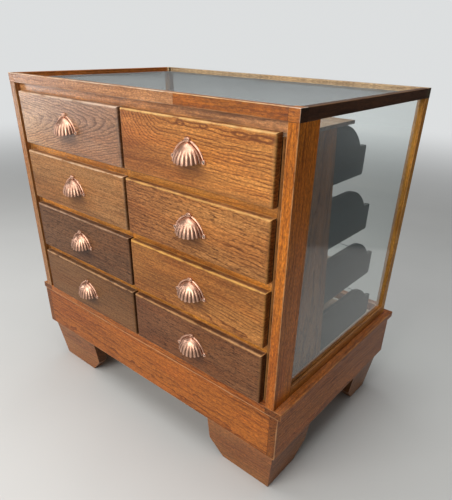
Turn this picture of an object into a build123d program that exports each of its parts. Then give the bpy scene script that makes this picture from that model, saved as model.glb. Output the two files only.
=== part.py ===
from build123d import *
import os
from math import acos, degrees, radians, sin

# Haberdashery counter cabinet: eight graduated drawers in a glazed oak case on bracket feet.
# The origin is on the floor at the centre of the footprint. The drawers face -Y, the glazed
# customer side faces +Y, and +Z is up. All sizes are in millimetres.

# Overall
cabinet_width = 920.0  # over the outer faces of the posts
cabinet_depth = 588.0  # front face of the front posts to the back face of the rear posts
cabinet_height = 920.0  # floor to the top of the top frame

# Base
foot_height = 140.0
plinth_height = 128.0
plinth_board = 22.0  # thickness of the plinth boards
plinth_overhang = 14.0  # plinth's outer face beyond the posts, at the sides and the rear
cap_thickness = 18.0
cap_overhang = 7.0  # cap's edge beyond the plinth boards
cap_nosing = 3.0  # rounding of the cap's outer top edge
cap_front_depth = 40.0  # front strip of the cap, front to back
foot_thickness = 42.0
foot_inset_top = 9.5  # foot's outer face behind the plinth's outer face, at the top
foot_inset_floor = 27.0  # the same at the floor, so that the outer faces taper
foot_cut_height = 50.0  # the inner ends of the feet are cut back below this height
foot_cut_run = 45.0  # how far that cut runs back at the floor
front_wing_length = 224.0  # along the front, from the plinth's corner
side_wing_length = 190.0
rear_foot_side_wing_length = 158.0
rear_wing_length = 190.0

joint_gap = 0.2  # glue line between pieces that are written together

# Case frame
post_face = 23.0  # width of a post seen from the front
front_post_depth = 67.0
top_rail_height = 23.0
base_rail_height = 27.0
arris = 1.2  # rounding of the frame's outer edges

# Glazing
side_glass = 4.0
top_glass = 6.0
glass_setback = 6.0  # glass behind the outer faces of posts and rails
top_glass_drop = 6.0  # top pane below the top of the frame
groove_depth = 6.0  # how far a pane enters posts and rails
top_glass_bearing = 8.0  # width of the ledge under the top pane
glass_play = 0.3
cut_clearance = 1.0  # how far an open cut runs past the face it opens

# Drawer carcase
rows = 4
fascia_setback = 15.0  # fronts of the inner rails and gables behind the posts' front faces
header_show = 19.0  # height of the header strip above the top drawers
header_depth = 23.0
fascia_lap = 1.0  # drawer fronts lap the rails by this much
front_gap = 20.0  # height between one drawer front and the next
front_foot_gap = 1.0  # below the lowest drawer front
gable_thickness = 16.0
gable_depth_top = 170.0  # from the posts' front faces to the gable's rear edge
gable_depth_foot = 236.0
partition_thickness = 18.0
top_board_thickness = 7.0
top_board_depth = 240.0
front_rail_depth = 60.0
runner_width = 22.0
runner_end_gap = 12.0  # runner's rear end in front of the gable's rear edge
kicker_gap = 3.0

# Drawers
front_thickness = 18.0
front_rounding = 5.0
centre_gap = 9.0  # between the left and right drawer fronts
side_gap = 1.0  # drawer front to gable
box_top_gap = 11.45  # top of a drawer box below the top of its front
box_side = 10.0
box_play = 1.2  # box to gable, and box to partition
seat_gap = 0.3  # box above its runner
rear_gap = 20.0  # lowest drawer box to the rear frame
row_setbacks = (193.0, 118.0, 44.0, 0.0)  # rear ends, top row first, in front of the lowest row's
low_end_share = 0.55  # height of the low rear end of a drawer's side, as a share of its high part
low_length = 30.0
sweep_radius = 120.0  # curve from the high part of the side down to the low end
end_rounding = 5.0
bottom_panel = 5.0
bottom_lift = 8.0  # underside of the bottom panel above the lower edge of the sides
panel_groove = 3.0
panel_play = 0.2
panel_rear_gap = 2.0  # bottom panel's rear edge in front of the side's rear end
end_glass = 4.0
end_glass_inset = 9.0  # end pane in front of the side's rear end
end_glass_groove = 4.0
end_glass_top_gap = 2.0

# Pulls
pull_width = 78.0  # over the shell
pull_height = 50.0
pull_projection = 27.0
pull_wall = 2.5
pull_rim_width = 3.5
pull_rim_thickness = 2.0
pull_rise = 6.0  # middle of the pull above the middle of the drawer front
pull_umbo_radius = 6.5
pull_umbo_drop = 2.0  # middle of the round boss below the top of the shell
pull_umbo_thickness = 9.0
pull_lug_radius = 4.8
pull_lug_rise = 5.0  # lower edge of a lug above the mouth
pull_lug_offset = 3.5  # middle of a lug beyond the shell's edge
pull_lug_thickness = 3.0
screw_head_radius = 2.8
screw_head_height = 1.6
screw_shank_radius = 1.5
screw_length = 12.0
screw_play = 0.1

# Derived levels
front_face_proud = front_thickness - fascia_setback
base_top = foot_height + plinth_height + cap_thickness
frame_underside = cabinet_height - top_rail_height
front_pitch = (frame_underside - header_show - base_top - front_foot_gap + front_gap) / rows
front_height = front_pitch - front_gap
box_height = front_height - fascia_lap - seat_gap - box_top_gap
low_height = box_height * low_end_share
header_underside = frame_underside - header_show - fascia_lap
top_board_underside = header_underside - top_board_thickness
floor_board_top = base_top + front_foot_gap + fascia_lap
pull_lug_height = pull_lug_rise + pull_lug_radius  # middle of a lug above the mouth

# Derived positions
half_width = cabinet_width / 2
post_inner_x = half_width - post_face
plinth_x = half_width + plinth_overhang
cap_x = plinth_x + cap_overhang
rear_overhang = plinth_overhang + cap_overhang
front_y = (pull_projection + front_face_proud - cabinet_depth - rear_overhang) / 2
fascia_y = front_y + fascia_setback
rear_y = front_y + cabinet_depth
rear_inner_y = rear_y - post_face
plinth_rear_y = rear_y + plinth_overhang
cap_rear_y = plinth_rear_y + cap_overhang
gable_inner_x = post_inner_x - gable_thickness
partition_x = partition_thickness / 2
front_face_y = fascia_y - front_thickness
box_outer_x = gable_inner_x - box_play
box_inner_x = partition_x + box_play
front_outer_x = gable_inner_x - side_gap
front_inner_x = centre_gap / 2
pull_x = (front_outer_x + front_inner_x) / 2


def export(piece, label):
    """Label a finished piece and write it as one STEP file."""
    piece.part.label = label
    export_step(piece.part, "parts/" + label + ".step")


def slab(x_span, y_span, z_span, mode=Mode.ADD):
    """A rectangular block between two planes on each axis, in the open part builder."""
    middle = [(low + high) / 2 for low, high in (x_span, y_span, z_span)]
    with Locations(tuple(middle)):
        Box(x_span[1] - x_span[0], y_span[1] - y_span[0], z_span[1] - z_span[0], mode=mode)


def export_mirrored_pair(piece, stem, sides=("right", "left")):
    """Write a piece and its mirror image, named for the sides they stand on."""
    export(piece, stem + "_" + sides[0])
    with BuildPart() as twin:
        mirror(piece.part, about=Plane.YZ)
    export(twin, stem + "_" + sides[1])


def front_bottom(row):
    """Height of a drawer front's lower edge; row 0 is the top row."""
    return base_top + front_foot_gap + (rows - 1 - row) * front_pitch


def box_bottom(row):
    """Height of a drawer box's lower edge, just above its runner."""
    return front_bottom(row) + fascia_lap + seat_gap


def box_rear(row):
    """Y of a drawer box's rear end."""
    return rear_inner_y - rear_gap - row_setbacks[row]


def gable_rear(height):
    """Y of the slanting rear edge of the gables at a given height."""
    share = (height - floor_board_top) / (top_board_underside - floor_board_top)
    return front_y + gable_depth_foot + share * (gable_depth_top - gable_depth_foot)


# Spaces that the panes take in posts and rails, a little larger than the panes
side_slot_x = (half_width - glass_setback - side_glass - glass_play, half_width - glass_setback)
side_slot_y = (front_y + front_post_depth - groove_depth, rear_inner_y + groove_depth)
rear_slot_x = (-post_inner_x - groove_depth, post_inner_x + groove_depth)
rear_slot_y = (rear_y - glass_setback - side_glass - glass_play, rear_y - glass_setback)
slot_z = (base_top + base_rail_height - groove_depth, frame_underside + groove_depth)
top_slot_x = (-post_inner_x - top_glass_bearing, post_inner_x + top_glass_bearing)
top_slot_y = (front_y + post_face - top_glass_bearing, rear_inner_y + top_glass_bearing)
top_slot_z = (cabinet_height - top_glass_drop - top_glass, cabinet_height + cut_clearance)


def cut_glass_slots():
    """Cut the grooves and the top rebate out of the piece in the open builder."""
    slab(side_slot_x, side_slot_y, slot_z, mode=Mode.SUBTRACT)
    slab((-side_slot_x[1], -side_slot_x[0]), side_slot_y, slot_z, mode=Mode.SUBTRACT)
    slab(rear_slot_x, rear_slot_y, slot_z, mode=Mode.SUBTRACT)
    slab(top_slot_x, top_slot_y, top_slot_z, mode=Mode.SUBTRACT)


def shrink(span):
    """A pane's span inside its slot, with play at both ends."""
    return (span[0] + glass_play, span[1] - glass_play)


def make_posts():
    """Deep front posts and square rear posts, grooved for the side and rear panes."""
    post_z = (base_top, frame_underside)
    with BuildPart() as front_post:
        slab((post_inner_x, half_width), (front_y, front_y + front_post_depth), post_z)
        corner = front_post.edges().filter_by(Axis.Z).group_by(Axis.X)[-1].sort_by(Axis.Y)[0]
        fillet(corner, arris)
        cut_glass_slots()
    export_mirrored_pair(front_post, "front_post")

    with BuildPart() as rear_post:
        slab((post_inner_x, half_width), (rear_inner_y, rear_y), post_z)
        corner = rear_post.edges().filter_by(Axis.Z).group_by(Axis.X)[-1].sort_by(Axis.Y)[-1]
        fillet(corner, arris)
        cut_glass_slots()
    export_mirrored_pair(rear_post, "rear_post")


def make_top_frame():
    """Four rails that carry the top pane in a rebate; front and rear run through."""
    rail_z = (frame_underside, cabinet_height)
    with BuildPart() as front_rail:
        slab((-half_width, half_width), (front_y, front_y + post_face), rail_z)
        fillet(front_rail.edges().group_by(Axis.Z)[-1].sort_by(Axis.Y)[0], arris)
        cut_glass_slots()
    export(front_rail, "top_rail_front")

    with BuildPart() as rear_rail:
        slab((-half_width, half_width), (rear_inner_y, rear_y), rail_z)
        fillet(rear_rail.edges().group_by(Axis.Z)[-1].sort_by(Axis.Y)[-1], arris)
        cut_glass_slots()
    export(rear_rail, "top_rail_rear")

    with BuildPart() as side_rail:
        slab((post_inner_x, half_width), (front_y + post_face, rear_inner_y), rail_z)
        fillet(side_rail.edges().group_by(Axis.Z)[-1].sort_by(Axis.X)[-1], arris)
        cut_glass_slots()
    export_mirrored_pair(side_rail, "top_rail")


def make_base_rails():
    """Low rails between the posts under the side and rear panes."""
    rail_z = (base_top, base_top + base_rail_height)
    side_y = (front_y + front_post_depth, rear_inner_y)
    with BuildPart() as rails:
        slab((post_inner_x, half_width), side_y, rail_z)
        slab((-half_width, -post_inner_x), side_y, rail_z)
        slab((-post_inner_x, post_inner_x), (rear_inner_y, rear_y), rail_z)
        cut_glass_slots()
    export(rails, "base_rails")


def make_glass():
    """Side, rear and top panes."""
    pane_z = shrink(slot_z)
    with BuildPart() as side_pane:
        slab((side_slot_x[0] + glass_play, side_slot_x[1]), shrink(side_slot_y), pane_z)
    export_mirrored_pair(side_pane, "glass")

    with BuildPart() as rear_pane:
        slab(shrink(rear_slot_x), (rear_slot_y[0] + glass_play, rear_slot_y[1]), pane_z)
    export(rear_pane, "glass_rear")

    with BuildPart() as top_pane:
        slab(shrink(top_slot_x), shrink(top_slot_y), (top_slot_z[0], top_slot_z[0] + top_glass))
        chamfer(top_pane.edges().group_by(Axis.Z)[-1], arris / 2)
    export(top_pane, "glass_top")


def upright_outline(x):
    """Side outline of a gable or the partition, in the plane at this X."""
    with BuildSketch(Plane.YZ.offset(x)) as outline:
        with BuildLine():
            Polyline(
                (fascia_y, floor_board_top),
                (gable_rear(floor_board_top), floor_board_top),
                (gable_rear(top_board_underside), top_board_underside),
                (fascia_y, top_board_underside),
                close=True,
            )
        make_face()
    return outline.sketch


def make_uprights():
    """Two gables and the centre partition that the drawers run between."""
    with BuildPart() as gable:
        extrude(upright_outline(gable_inner_x), amount=gable_thickness)
    export_mirrored_pair(gable, "gable")

    with BuildPart() as partition:
        extrude(upright_outline(-partition_x), amount=partition_thickness)
    export(partition, "centre_partition")


def make_top_board():
    """Thin board over the top drawers, with the header strip standing on its front edge."""
    with BuildPart() as board:
        slab(
            (-post_inner_x, post_inner_x),
            (fascia_y, front_y + top_board_depth),
            (top_board_underside, header_underside),
        )
    export(board, "top_board")

    with BuildPart() as header:
        slab(
            (-post_inner_x, post_inner_x),
            (fascia_y, fascia_y + header_depth),
            (header_underside, frame_underside),
        )
    export(header, "header_strip")


def make_drawer_rails():
    """Front rails in the gaps between the drawer rows, one for each column."""
    with BuildPart() as rails:
        for row in range(rows - 1):
            rail_top = front_bottom(row) + fascia_lap
            rail_z = (rail_top - front_gap - 2 * fascia_lap, rail_top)
            rail_y = (fascia_y, fascia_y + front_rail_depth)
            slab((partition_x, gable_inner_x), rail_y, rail_z)
            slab((-gable_inner_x, -partition_x), rail_y, rail_z)
    export(rails, "drawer_rails")


def make_runners():
    """Runners behind the rails; each also keeps the drawer below from tipping."""
    with BuildPart() as runners:
        for row in range(rows - 1):
            top = front_bottom(row) + fascia_lap
            underside = box_bottom(row + 1) + box_height + kicker_gap
            span_y = (fascia_y + front_rail_depth, gable_rear(top) - runner_end_gap)
            for side in (-1, 1):
                outer = sorted((side * gable_inner_x, side * (gable_inner_x - runner_width)))
                inner = sorted((side * partition_x, side * (partition_x + runner_width)))
                slab(outer, span_y, (underside, top))
                slab(inner, span_y, (underside, top))
    export(runners, "runners")


def make_floor():
    """Moulded cap on the plinth, in four strips, and the floor board inside it."""
    cap_z = (foot_height + plinth_height, base_top)
    lip_y = front_y + cap_front_depth
    front_end_x = post_inner_x - joint_gap
    mitre_y = cap_rear_y - (cap_x - post_inner_x)
    with BuildPart() as cap_frame:
        with BuildSketch(Plane.XY.offset(cap_z[0])):
            with BuildLine():
                Polyline(
                    (post_inner_x, front_y),
                    (cap_x, front_y),
                    (cap_x, cap_rear_y),
                    (post_inner_x, mitre_y),
                    close=True,
                )
            make_face()
            mirror(about=Plane.YZ)
        with BuildSketch(Plane.XY.offset(cap_z[0])):
            with BuildLine():
                Polyline(
                    (-post_inner_x + joint_gap, mitre_y),
                    (post_inner_x - joint_gap, mitre_y),
                    (cap_x - joint_gap, cap_rear_y),
                    (-cap_x + joint_gap, cap_rear_y),
                    close=True,
                )
            make_face()
        extrude(amount=cap_thickness)
        top_edges = cap_frame.edges().group_by(Axis.Z)[-1]
        side_edges = top_edges.filter_by(Axis.Y).group_by(SortBy.LENGTH)[-1]
        outer_edges = side_edges.sort_by(Axis.X)
        rear_edge = top_edges.filter_by(Axis.X).sort_by(Axis.Y)[-1]
        fillet([outer_edges[0], outer_edges[-1], rear_edge], cap_nosing)
        slab((-front_end_x, front_end_x), (front_y, lip_y), cap_z)
        slab((-front_end_x, front_end_x), (fascia_y, lip_y), (base_top, floor_board_top))
    export(cap_frame, "cap_frame")

    with BuildPart() as floor_board:
        slab((-post_inner_x, post_inner_x), (lip_y, rear_inner_y), (cap_z[0], floor_board_top))
    export(floor_board, "floor_board")


def make_plinth():
    """Four plinth boards; the side boards run through and show their end grain in front."""
    plinth_z = (foot_height, foot_height + plinth_height)
    board_inner_x = plinth_x - plinth_board
    between_x = (-board_inner_x + joint_gap, board_inner_x - joint_gap)
    with BuildPart() as plinth:
        slab((board_inner_x, plinth_x), (front_y, plinth_rear_y), plinth_z)
        slab((-plinth_x, -board_inner_x), (front_y, plinth_rear_y), plinth_z)
        slab(between_x, (front_y, front_y + plinth_board), plinth_z)
        slab(between_x, (plinth_rear_y - plinth_board, plinth_rear_y), plinth_z)
    export(plinth, "plinth")


def wing_outline(plane, length):
    """Outline of one wing of a foot, running away from the corner at the plane's origin."""
    with BuildSketch(plane) as outline:
        with BuildLine():
            Polyline(
                (0, 0),
                (length - foot_cut_run, 0),
                (length, foot_cut_height),
                (length, foot_height),
                (0, foot_height),
                close=True,
            )
        make_face()
    return outline.sketch


def taper_outline(plane):
    """What the tapering outer face of a foot leaves off, with the corner at the origin."""
    with BuildSketch(plane) as outline:
        with BuildLine():
            Polyline(
                (0, 0),
                (foot_inset_floor, 0),
                (foot_inset_top, foot_height),
                (0, foot_height),
                close=True,
            )
        make_face()
    return outline.sketch


def foot_wings(front_length, side_length):
    """Two mitred wings, with the plinth's corner at the origin, along +X and +Y."""
    reach = front_length + side_length
    with BuildPart() as wings:
        front_wing = wing_outline(Plane.XZ.offset(-foot_inset_top), front_length)
        extrude(front_wing, amount=-foot_thickness)
        side_wing = wing_outline(Plane.YZ.offset(foot_inset_top), side_length)
        extrude(side_wing, amount=foot_thickness)
        extrude(taper_outline(Plane.YZ), amount=reach, mode=Mode.SUBTRACT)
        extrude(taper_outline(Plane.XZ), amount=-reach, mode=Mode.SUBTRACT)
        with Locations(Location((0, 0, foot_height / 2), (0, 0, 45))):
            Box(reach, joint_gap, foot_height, mode=Mode.SUBTRACT)
    return wings


def make_feet():
    """Bracket feet at the four corners of the plinth."""
    front_wings = foot_wings(front_wing_length, side_wing_length)
    with BuildPart() as front_foot:
        with Locations((-plinth_x, front_y, 0)):
            add(front_wings.part)
    export_mirrored_pair(front_foot, "foot_front", sides=("left", "right"))

    rear_wings = foot_wings(rear_wing_length, rear_foot_side_wing_length)
    with BuildPart() as turned_wings:
        mirror(rear_wings.part, about=Plane.XZ)
    with BuildPart() as rear_foot:
        with Locations((-plinth_x, plinth_rear_y, 0)):
            add(turned_wings.part)
    export_mirrored_pair(rear_foot, "foot_rear", sides=("left", "right"))


def screw_points(row):
    """Middles of the two pull screws on a drawer front, as X and Z."""
    height = pull_mouth(row) + pull_lug_height
    reach = pull_width / 2 + pull_lug_offset
    return [(pull_x - reach, height), (pull_x + reach, height)]


def pull_mouth(row):
    """Height of the open lower edge of a row's pulls."""
    return front_bottom(row) + front_height / 2 + pull_rise - pull_height / 2


def make_pull():
    """Cup pull with its mouth in the XY plane and its back on the XZ plane, and its screws."""
    lug_x = pull_width / 2 + pull_lug_offset
    lugs = [(-lug_x, pull_lug_height), (lug_x, pull_lug_height)]
    inner_x = pull_width / 2 - pull_wall
    inner_z = pull_height - pull_wall
    with BuildPart() as hollow:
        Sphere(1)
        scale(by=(inner_x, pull_projection - pull_wall, inner_z))
    with BuildPart() as pull:
        Sphere(1)
        scale(by=(pull_width / 2, pull_projection, pull_height))
        with BuildSketch(Plane.XZ):
            Ellipse(pull_width / 2 + pull_rim_width, pull_height + pull_rim_width)
        extrude(amount=pull_rim_thickness)
        with BuildSketch(Plane.XZ):
            with Locations((0, pull_height - pull_umbo_drop)):
                Circle(pull_umbo_radius)
        extrude(amount=pull_umbo_thickness)
        with BuildSketch(Plane.XZ):
            with Locations(*lugs):
                Circle(pull_lug_radius)
        extrude(amount=pull_lug_thickness)
        add(hollow.part, mode=Mode.SUBTRACT)
        split(bisect_by=Plane.XY)
        split(bisect_by=Plane.XZ)
        with BuildSketch(Plane.XZ):
            with Locations(*lugs):
                Circle(screw_shank_radius + screw_play)
        extrude(amount=pull_projection, mode=Mode.SUBTRACT)
        with BuildSketch(Plane.XZ.offset(pull_lug_thickness + screw_play)):
            with Locations(*lugs):
                Circle(screw_head_radius)
        extrude(amount=screw_head_height)
        with BuildSketch(Plane.XZ.offset(pull_lug_thickness + screw_play)):
            with Locations(*lugs):
                Circle(screw_shank_radius)
        extrude(amount=-screw_length)
    return pull


def side_outline(row, x):
    """Side of a drawer box at this X: high in front, swept down to a low rear end."""
    bottom = box_bottom(row)
    top = bottom + box_height
    rear = box_rear(row)
    drop = box_height - low_height
    angle = degrees(acos(1 - drop / sweep_radius))
    sweep_start = rear - low_length - sweep_radius * sin(radians(angle))
    with BuildSketch(Plane.YZ.offset(x)) as outline:
        with BuildLine():
            sweep_curve = CenterArc((sweep_start, top - sweep_radius), sweep_radius, 90, -angle)
            Polyline(
                sweep_curve @ 1,
                (rear, bottom + low_height),
                (rear, bottom),
                (fascia_y, bottom),
                (fascia_y, top),
                sweep_curve @ 0,
            )
        make_face()
        fillet(outline.vertices().sort_by(Axis.X)[-2:], end_rounding)
    return outline.sketch


def make_drawer(row, pull):
    """Front, box, glass end and pull of one row's right-hand drawer, and its mirror image."""
    stem = "drawer_" + str(row + 1)
    bottom = box_bottom(row)
    rear = box_rear(row)
    front_z = (front_bottom(row), front_bottom(row) + front_height)
    with BuildPart() as front:
        slab((front_inner_x, front_outer_x), (front_face_y, fascia_y), front_z)
        fillet(front.faces().sort_by(Axis.Y)[0].edges(), front_rounding)
        with BuildSketch(Plane.XZ.offset(-front_face_y)):
            with Locations(*screw_points(row)):
                Circle(screw_shank_radius + screw_play)
        extrude(amount=-screw_length, mode=Mode.SUBTRACT)
    export_mirrored_pair(front, stem + "_front")

    inside_x = (box_inner_x + box_side, box_outer_x - box_side)
    panel_x = (inside_x[0] - panel_groove, inside_x[1] + panel_groove)
    panel_y = (fascia_y, rear - panel_rear_gap)
    panel_z = (bottom + bottom_lift, bottom + bottom_lift + bottom_panel)
    end_x = (inside_x[0] - end_glass_groove, inside_x[1] + end_glass_groove)
    end_y = (rear - end_glass_inset - end_glass, rear - end_glass_inset)
    end_z = (panel_z[1] + panel_play, bottom + low_height)
    with BuildPart() as box:
        for low_face in (box_inner_x, inside_x[1]):
            extrude(side_outline(row, low_face), amount=box_side)
        slab(
            panel_x,
            (panel_y[0], panel_y[1] + panel_play),
            (panel_z[0] - panel_play, panel_z[1] + panel_play),
            mode=Mode.SUBTRACT,
        )
        slab(end_x, (end_y[0] - panel_play, end_y[1] + panel_play), end_z, mode=Mode.SUBTRACT)
        slab((panel_x[0] + panel_play, panel_x[1] - panel_play), panel_y, panel_z)
    export_mirrored_pair(box, stem + "_box")

    with BuildPart() as end_pane:
        pane_x = (end_x[0] + panel_play, end_x[1] - panel_play)
        slab(pane_x, end_y, (end_z[0], end_z[1] - end_glass_top_gap))
    export_mirrored_pair(end_pane, stem + "_end")

    with BuildPart() as placed_pull:
        with Locations((pull_x, front_face_y, pull_mouth(row))):
            add(pull.part)
    export_mirrored_pair(placed_pull, stem + "_pull")


os.makedirs("parts", exist_ok=True)
make_posts()
make_top_frame()
make_base_rails()
make_glass()
make_uprights()
make_top_board()
make_drawer_rails()
make_runners()
make_floor()
make_plinth()
make_feet()
cup_pull = make_pull()
for drawer_row in range(rows):
    make_drawer(drawer_row, cup_pull)
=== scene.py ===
"""Looks of a haberdashery counter cabinet: eight oak drawers in a glazed oak case on bracket feet."""

import logging
import math
from dataclasses import dataclass, field, replace
from enum import Enum
from functools import cache
from typing import Callable

import bmesh
import bpy
from mathutils import Matrix, Vector


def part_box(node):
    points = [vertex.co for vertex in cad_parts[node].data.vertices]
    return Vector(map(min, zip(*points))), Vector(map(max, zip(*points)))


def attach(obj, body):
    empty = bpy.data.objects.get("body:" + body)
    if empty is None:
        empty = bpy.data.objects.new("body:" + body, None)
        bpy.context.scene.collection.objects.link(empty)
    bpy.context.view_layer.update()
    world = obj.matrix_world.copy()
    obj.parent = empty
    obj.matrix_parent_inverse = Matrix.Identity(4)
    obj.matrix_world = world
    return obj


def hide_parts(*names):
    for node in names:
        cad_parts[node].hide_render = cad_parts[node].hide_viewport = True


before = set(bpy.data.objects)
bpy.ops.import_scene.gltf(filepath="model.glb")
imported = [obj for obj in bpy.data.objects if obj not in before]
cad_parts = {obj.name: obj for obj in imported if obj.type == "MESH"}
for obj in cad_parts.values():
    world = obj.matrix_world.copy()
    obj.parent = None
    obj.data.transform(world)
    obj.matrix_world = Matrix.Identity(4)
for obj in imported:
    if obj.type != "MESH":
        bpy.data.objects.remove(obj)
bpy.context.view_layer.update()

Colour = tuple[float, float, float]
Point = tuple[float, float, float]
Span = tuple[float, float]

LOG = logging.getLogger("cabinet")
MM = 0.001
CASE_BODY = "cabinet"
VIEW_WIDTH = 452
VIEW_HEIGHT = 500
NO_SHIFT = (0.0, 0.0, 0.0)


class Along(Enum):
    """Axis of the cabinet that a board's grain follows."""

    X = 0
    Y = 1
    Z = 2


class Slot(Enum):
    """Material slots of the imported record."""

    CASE = "oak_case"
    INNER_RAILS = "oak_inner_rails"
    BASE = "oak_base"
    FRONTS = "oak_drawer_fronts"
    BOXES = "stained_drawer_boxes"
    PALE = "pale_inner_wood"
    COPPER = "copper_pulls"


# ---------------------------------------------------------------- node trees


class Signal:
    """A number, vector or colour that a node puts out, with the signs of arithmetic."""

    def __init__(self, graph: "Graph", socket: bpy.types.NodeSocket) -> None:
        """Keeps the graph and the output socket."""
        self.graph = graph
        self.socket = socket

    def combine(self, operation: str, first: "Value", second: "Value") -> "Signal":
        """Adds a Math node where this signal is a number, or else a Vector Math node.

        Args:
            operation: The operation's name.
            first: Its first value.
            second: Its second value.

        Returns:
            The result.
        """
        if self.socket.type == "VALUE":
            return self.graph.math(operation, first, second)
        return self.graph.vector(operation, first, second)

    def __add__(self, other: "Value") -> "Signal":
        """Returns this plus the other."""
        return self.combine("ADD", self, other)

    def __sub__(self, other: "Value") -> "Signal":
        """Returns this less the other."""
        return self.combine("SUBTRACT", self, other)

    def __rsub__(self, other: "Value") -> "Signal":
        """Returns the other less this."""
        return self.combine("SUBTRACT", other, self)

    def __mul__(self, other: "Value") -> "Signal":
        """Returns this times the other."""
        return self.combine("MULTIPLY", self, other)

    def __truediv__(self, other: "Value") -> "Signal":
        """Returns this divided by the other."""
        return self.combine("DIVIDE", self, other)


Value = Signal | float | Point


class Graph:
    """Short calls for building one shader node tree."""

    def __init__(self, tree: bpy.types.NodeTree) -> None:
        """Keeps the tree that the nodes go into."""
        self.tree = tree

    def feed(self, node: bpy.types.Node, inputs: dict) -> None:
        """Links signals to a node's inputs, and sets plain values on the inputs themselves.

        Args:
            node: The node.
            inputs: Signals or plain values by input name or number.
        """
        for key, value in inputs.items():
            socket = node.inputs[key]
            if isinstance(value, Signal):
                self.tree.links.new(value.socket, socket)
            elif socket.type == "RGBA" and len(value) == 3:
                socket.default_value = (*value, 1.0)
            else:
                socket.default_value = value

    def node(self, kind: str, inputs: dict | None = None, **settings: object) -> bpy.types.Node:
        """Adds one node.

        Args:
            kind: The node's type name.
            inputs: Signals or plain values by input name or number.
            settings: Properties of the node.

        Returns:
            The new node.
        """
        made = self.tree.nodes.new(kind)
        for key, value in settings.items():
            setattr(made, key, value)
        self.feed(made, inputs or {})
        return made

    def out(self, kind: str, inputs: dict | None = None, output: int | str = 0, **settings: object) -> Signal:
        """Adds one node and returns one of its outputs.

        Args:
            kind: The node's type name.
            inputs: Signals or plain values by input name or number.
            output: The output's name or number.
            settings: Properties of the node.

        Returns:
            The output.
        """
        return Signal(self, self.node(kind, inputs, **settings).outputs[output])

    def math(self, operation: str, *values: Value, clamp: bool = False) -> Signal:
        """Adds a Math node.

        Args:
            operation: The operation's name.
            values: Numbers, in order.
            clamp: True to keep the result from 0 to 1.

        Returns:
            The result.
        """
        return self.out("ShaderNodeMath", dict(enumerate(values)), operation=operation, use_clamp=clamp)

    def vector(self, operation: str, *values: Value) -> Signal:
        """Adds a Vector Math node and returns its vector."""
        return self.out("ShaderNodeVectorMath", dict(enumerate(values)), operation=operation)

    def length(self, value: Value) -> Signal:
        """Returns the length of a vector."""
        return self.out("ShaderNodeVectorMath", {0: value}, "Value", operation="LENGTH")

    def split(self, value: Value) -> tuple[Signal, ...]:
        """Returns the X, Y and Z of a vector."""
        return tuple(Signal(self, part) for part in self.node("ShaderNodeSeparateXYZ", {0: value}).outputs)

    def join(self, x: Value, y: Value, z: Value) -> Signal:
        """Returns a vector made of three numbers."""
        return self.out("ShaderNodeCombineXYZ", {0: x, 1: y, 2: z})

    def evenly(self, value: Value) -> Signal:
        """Returns a vector made of one number three times."""
        return self.join(value, value, value)

    def normal(self) -> Signal:
        """Returns the surface's normal."""
        return self.out("ShaderNodeNewGeometry", output="Normal")

    def up(self) -> Signal:
        """Returns 1 where the surface looks straight up and -1 where it looks down."""
        return self.split(self.normal())[2]

    def mix(self, share: Value, first: Value, second: Value, blend: str = "MIX") -> Signal:
        """Mixes two colours.

        Args:
            share: How much of the second colour.
            first: The first colour.
            second: The second colour.
            blend: The blend type.

        Returns:
            The mixed colour.
        """
        inputs = {0: share, 6: first, 7: second}
        return self.out("ShaderNodeMix", inputs, 2, data_type="RGBA", blend_type=blend)

    def shade(self, colour: Value, level: Value) -> Signal:
        """Returns a colour made lighter or darker by a number."""
        return self.mix(1.0, colour, self.evenly(level), "MULTIPLY")

    def noise(
        self,
        place: Value,
        scale: float | Point,
        detail: float = 2.0,
        roughness: float = 0.5,
        output: int | str = 0,
    ) -> Signal:
        """Adds noise.

        Args:
            place: The coordinates.
            scale: Cells per metre, alike on all axes or one number for each axis.
            detail: Octaves.
            roughness: Share of each octave.
            output: The output of the Noise Texture node.

        Returns:
            The noise.
        """
        cells = scale if isinstance(scale, tuple) else (scale, scale, scale)
        stretched = self.vector("MULTIPLY", place, cells)
        inputs = {"Vector": stretched, "Scale": 1.0, "Detail": detail, "Roughness": roughness}
        return self.out("ShaderNodeTexNoise", inputs, output)

    def warp(self, place: Value, scale: Point) -> Signal:
        """Returns a vector of noise about zero, which bends coordinates that it is added to."""
        return self.noise(place, scale, output="Color") - (0.5, 0.5, 0.5)

    def rays(self, *kinds: str) -> tuple[Signal, ...]:
        """Returns 1 where a kind of ray looks at the surface, for each kind."""
        path = self.node("ShaderNodeLightPath").outputs
        return tuple(Signal(self, path[f"Is {kind} Ray"]) for kind in kinds)

    def ramp(self, value: Value, low: Value, high: Value, bottom: Value = 0.0, top: Value = 1.0) -> Signal:
        """Maps low..high smoothly to bottom..top.

        Args:
            value: The number.
            low: Where the ramp starts.
            high: Where it ends.
            bottom: The result at low.
            top: The result at high.

        Returns:
            The result.
        """
        inputs = {0: value, 1: low, 2: high, 3: bottom, 4: top}
        return self.out("ShaderNodeMapRange", inputs, interpolation_type="SMOOTHSTEP")

    def group(self, tree: bpy.types.NodeTree, inputs: dict) -> dict[str, Signal]:
        """Places an effect group with its own values.

        Args:
            tree: The group.
            inputs: Signals or plain values by name.

        Returns:
            The group's outputs by name.
        """
        placed = self.node("ShaderNodeGroup", inputs, node_tree=tree)
        return {output.name: Signal(self, output) for output in placed.outputs}


FLOAT = "NodeSocketFloat"
VECTOR = "NodeSocketVector"
COLOUR = "NodeSocketColor"


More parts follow.
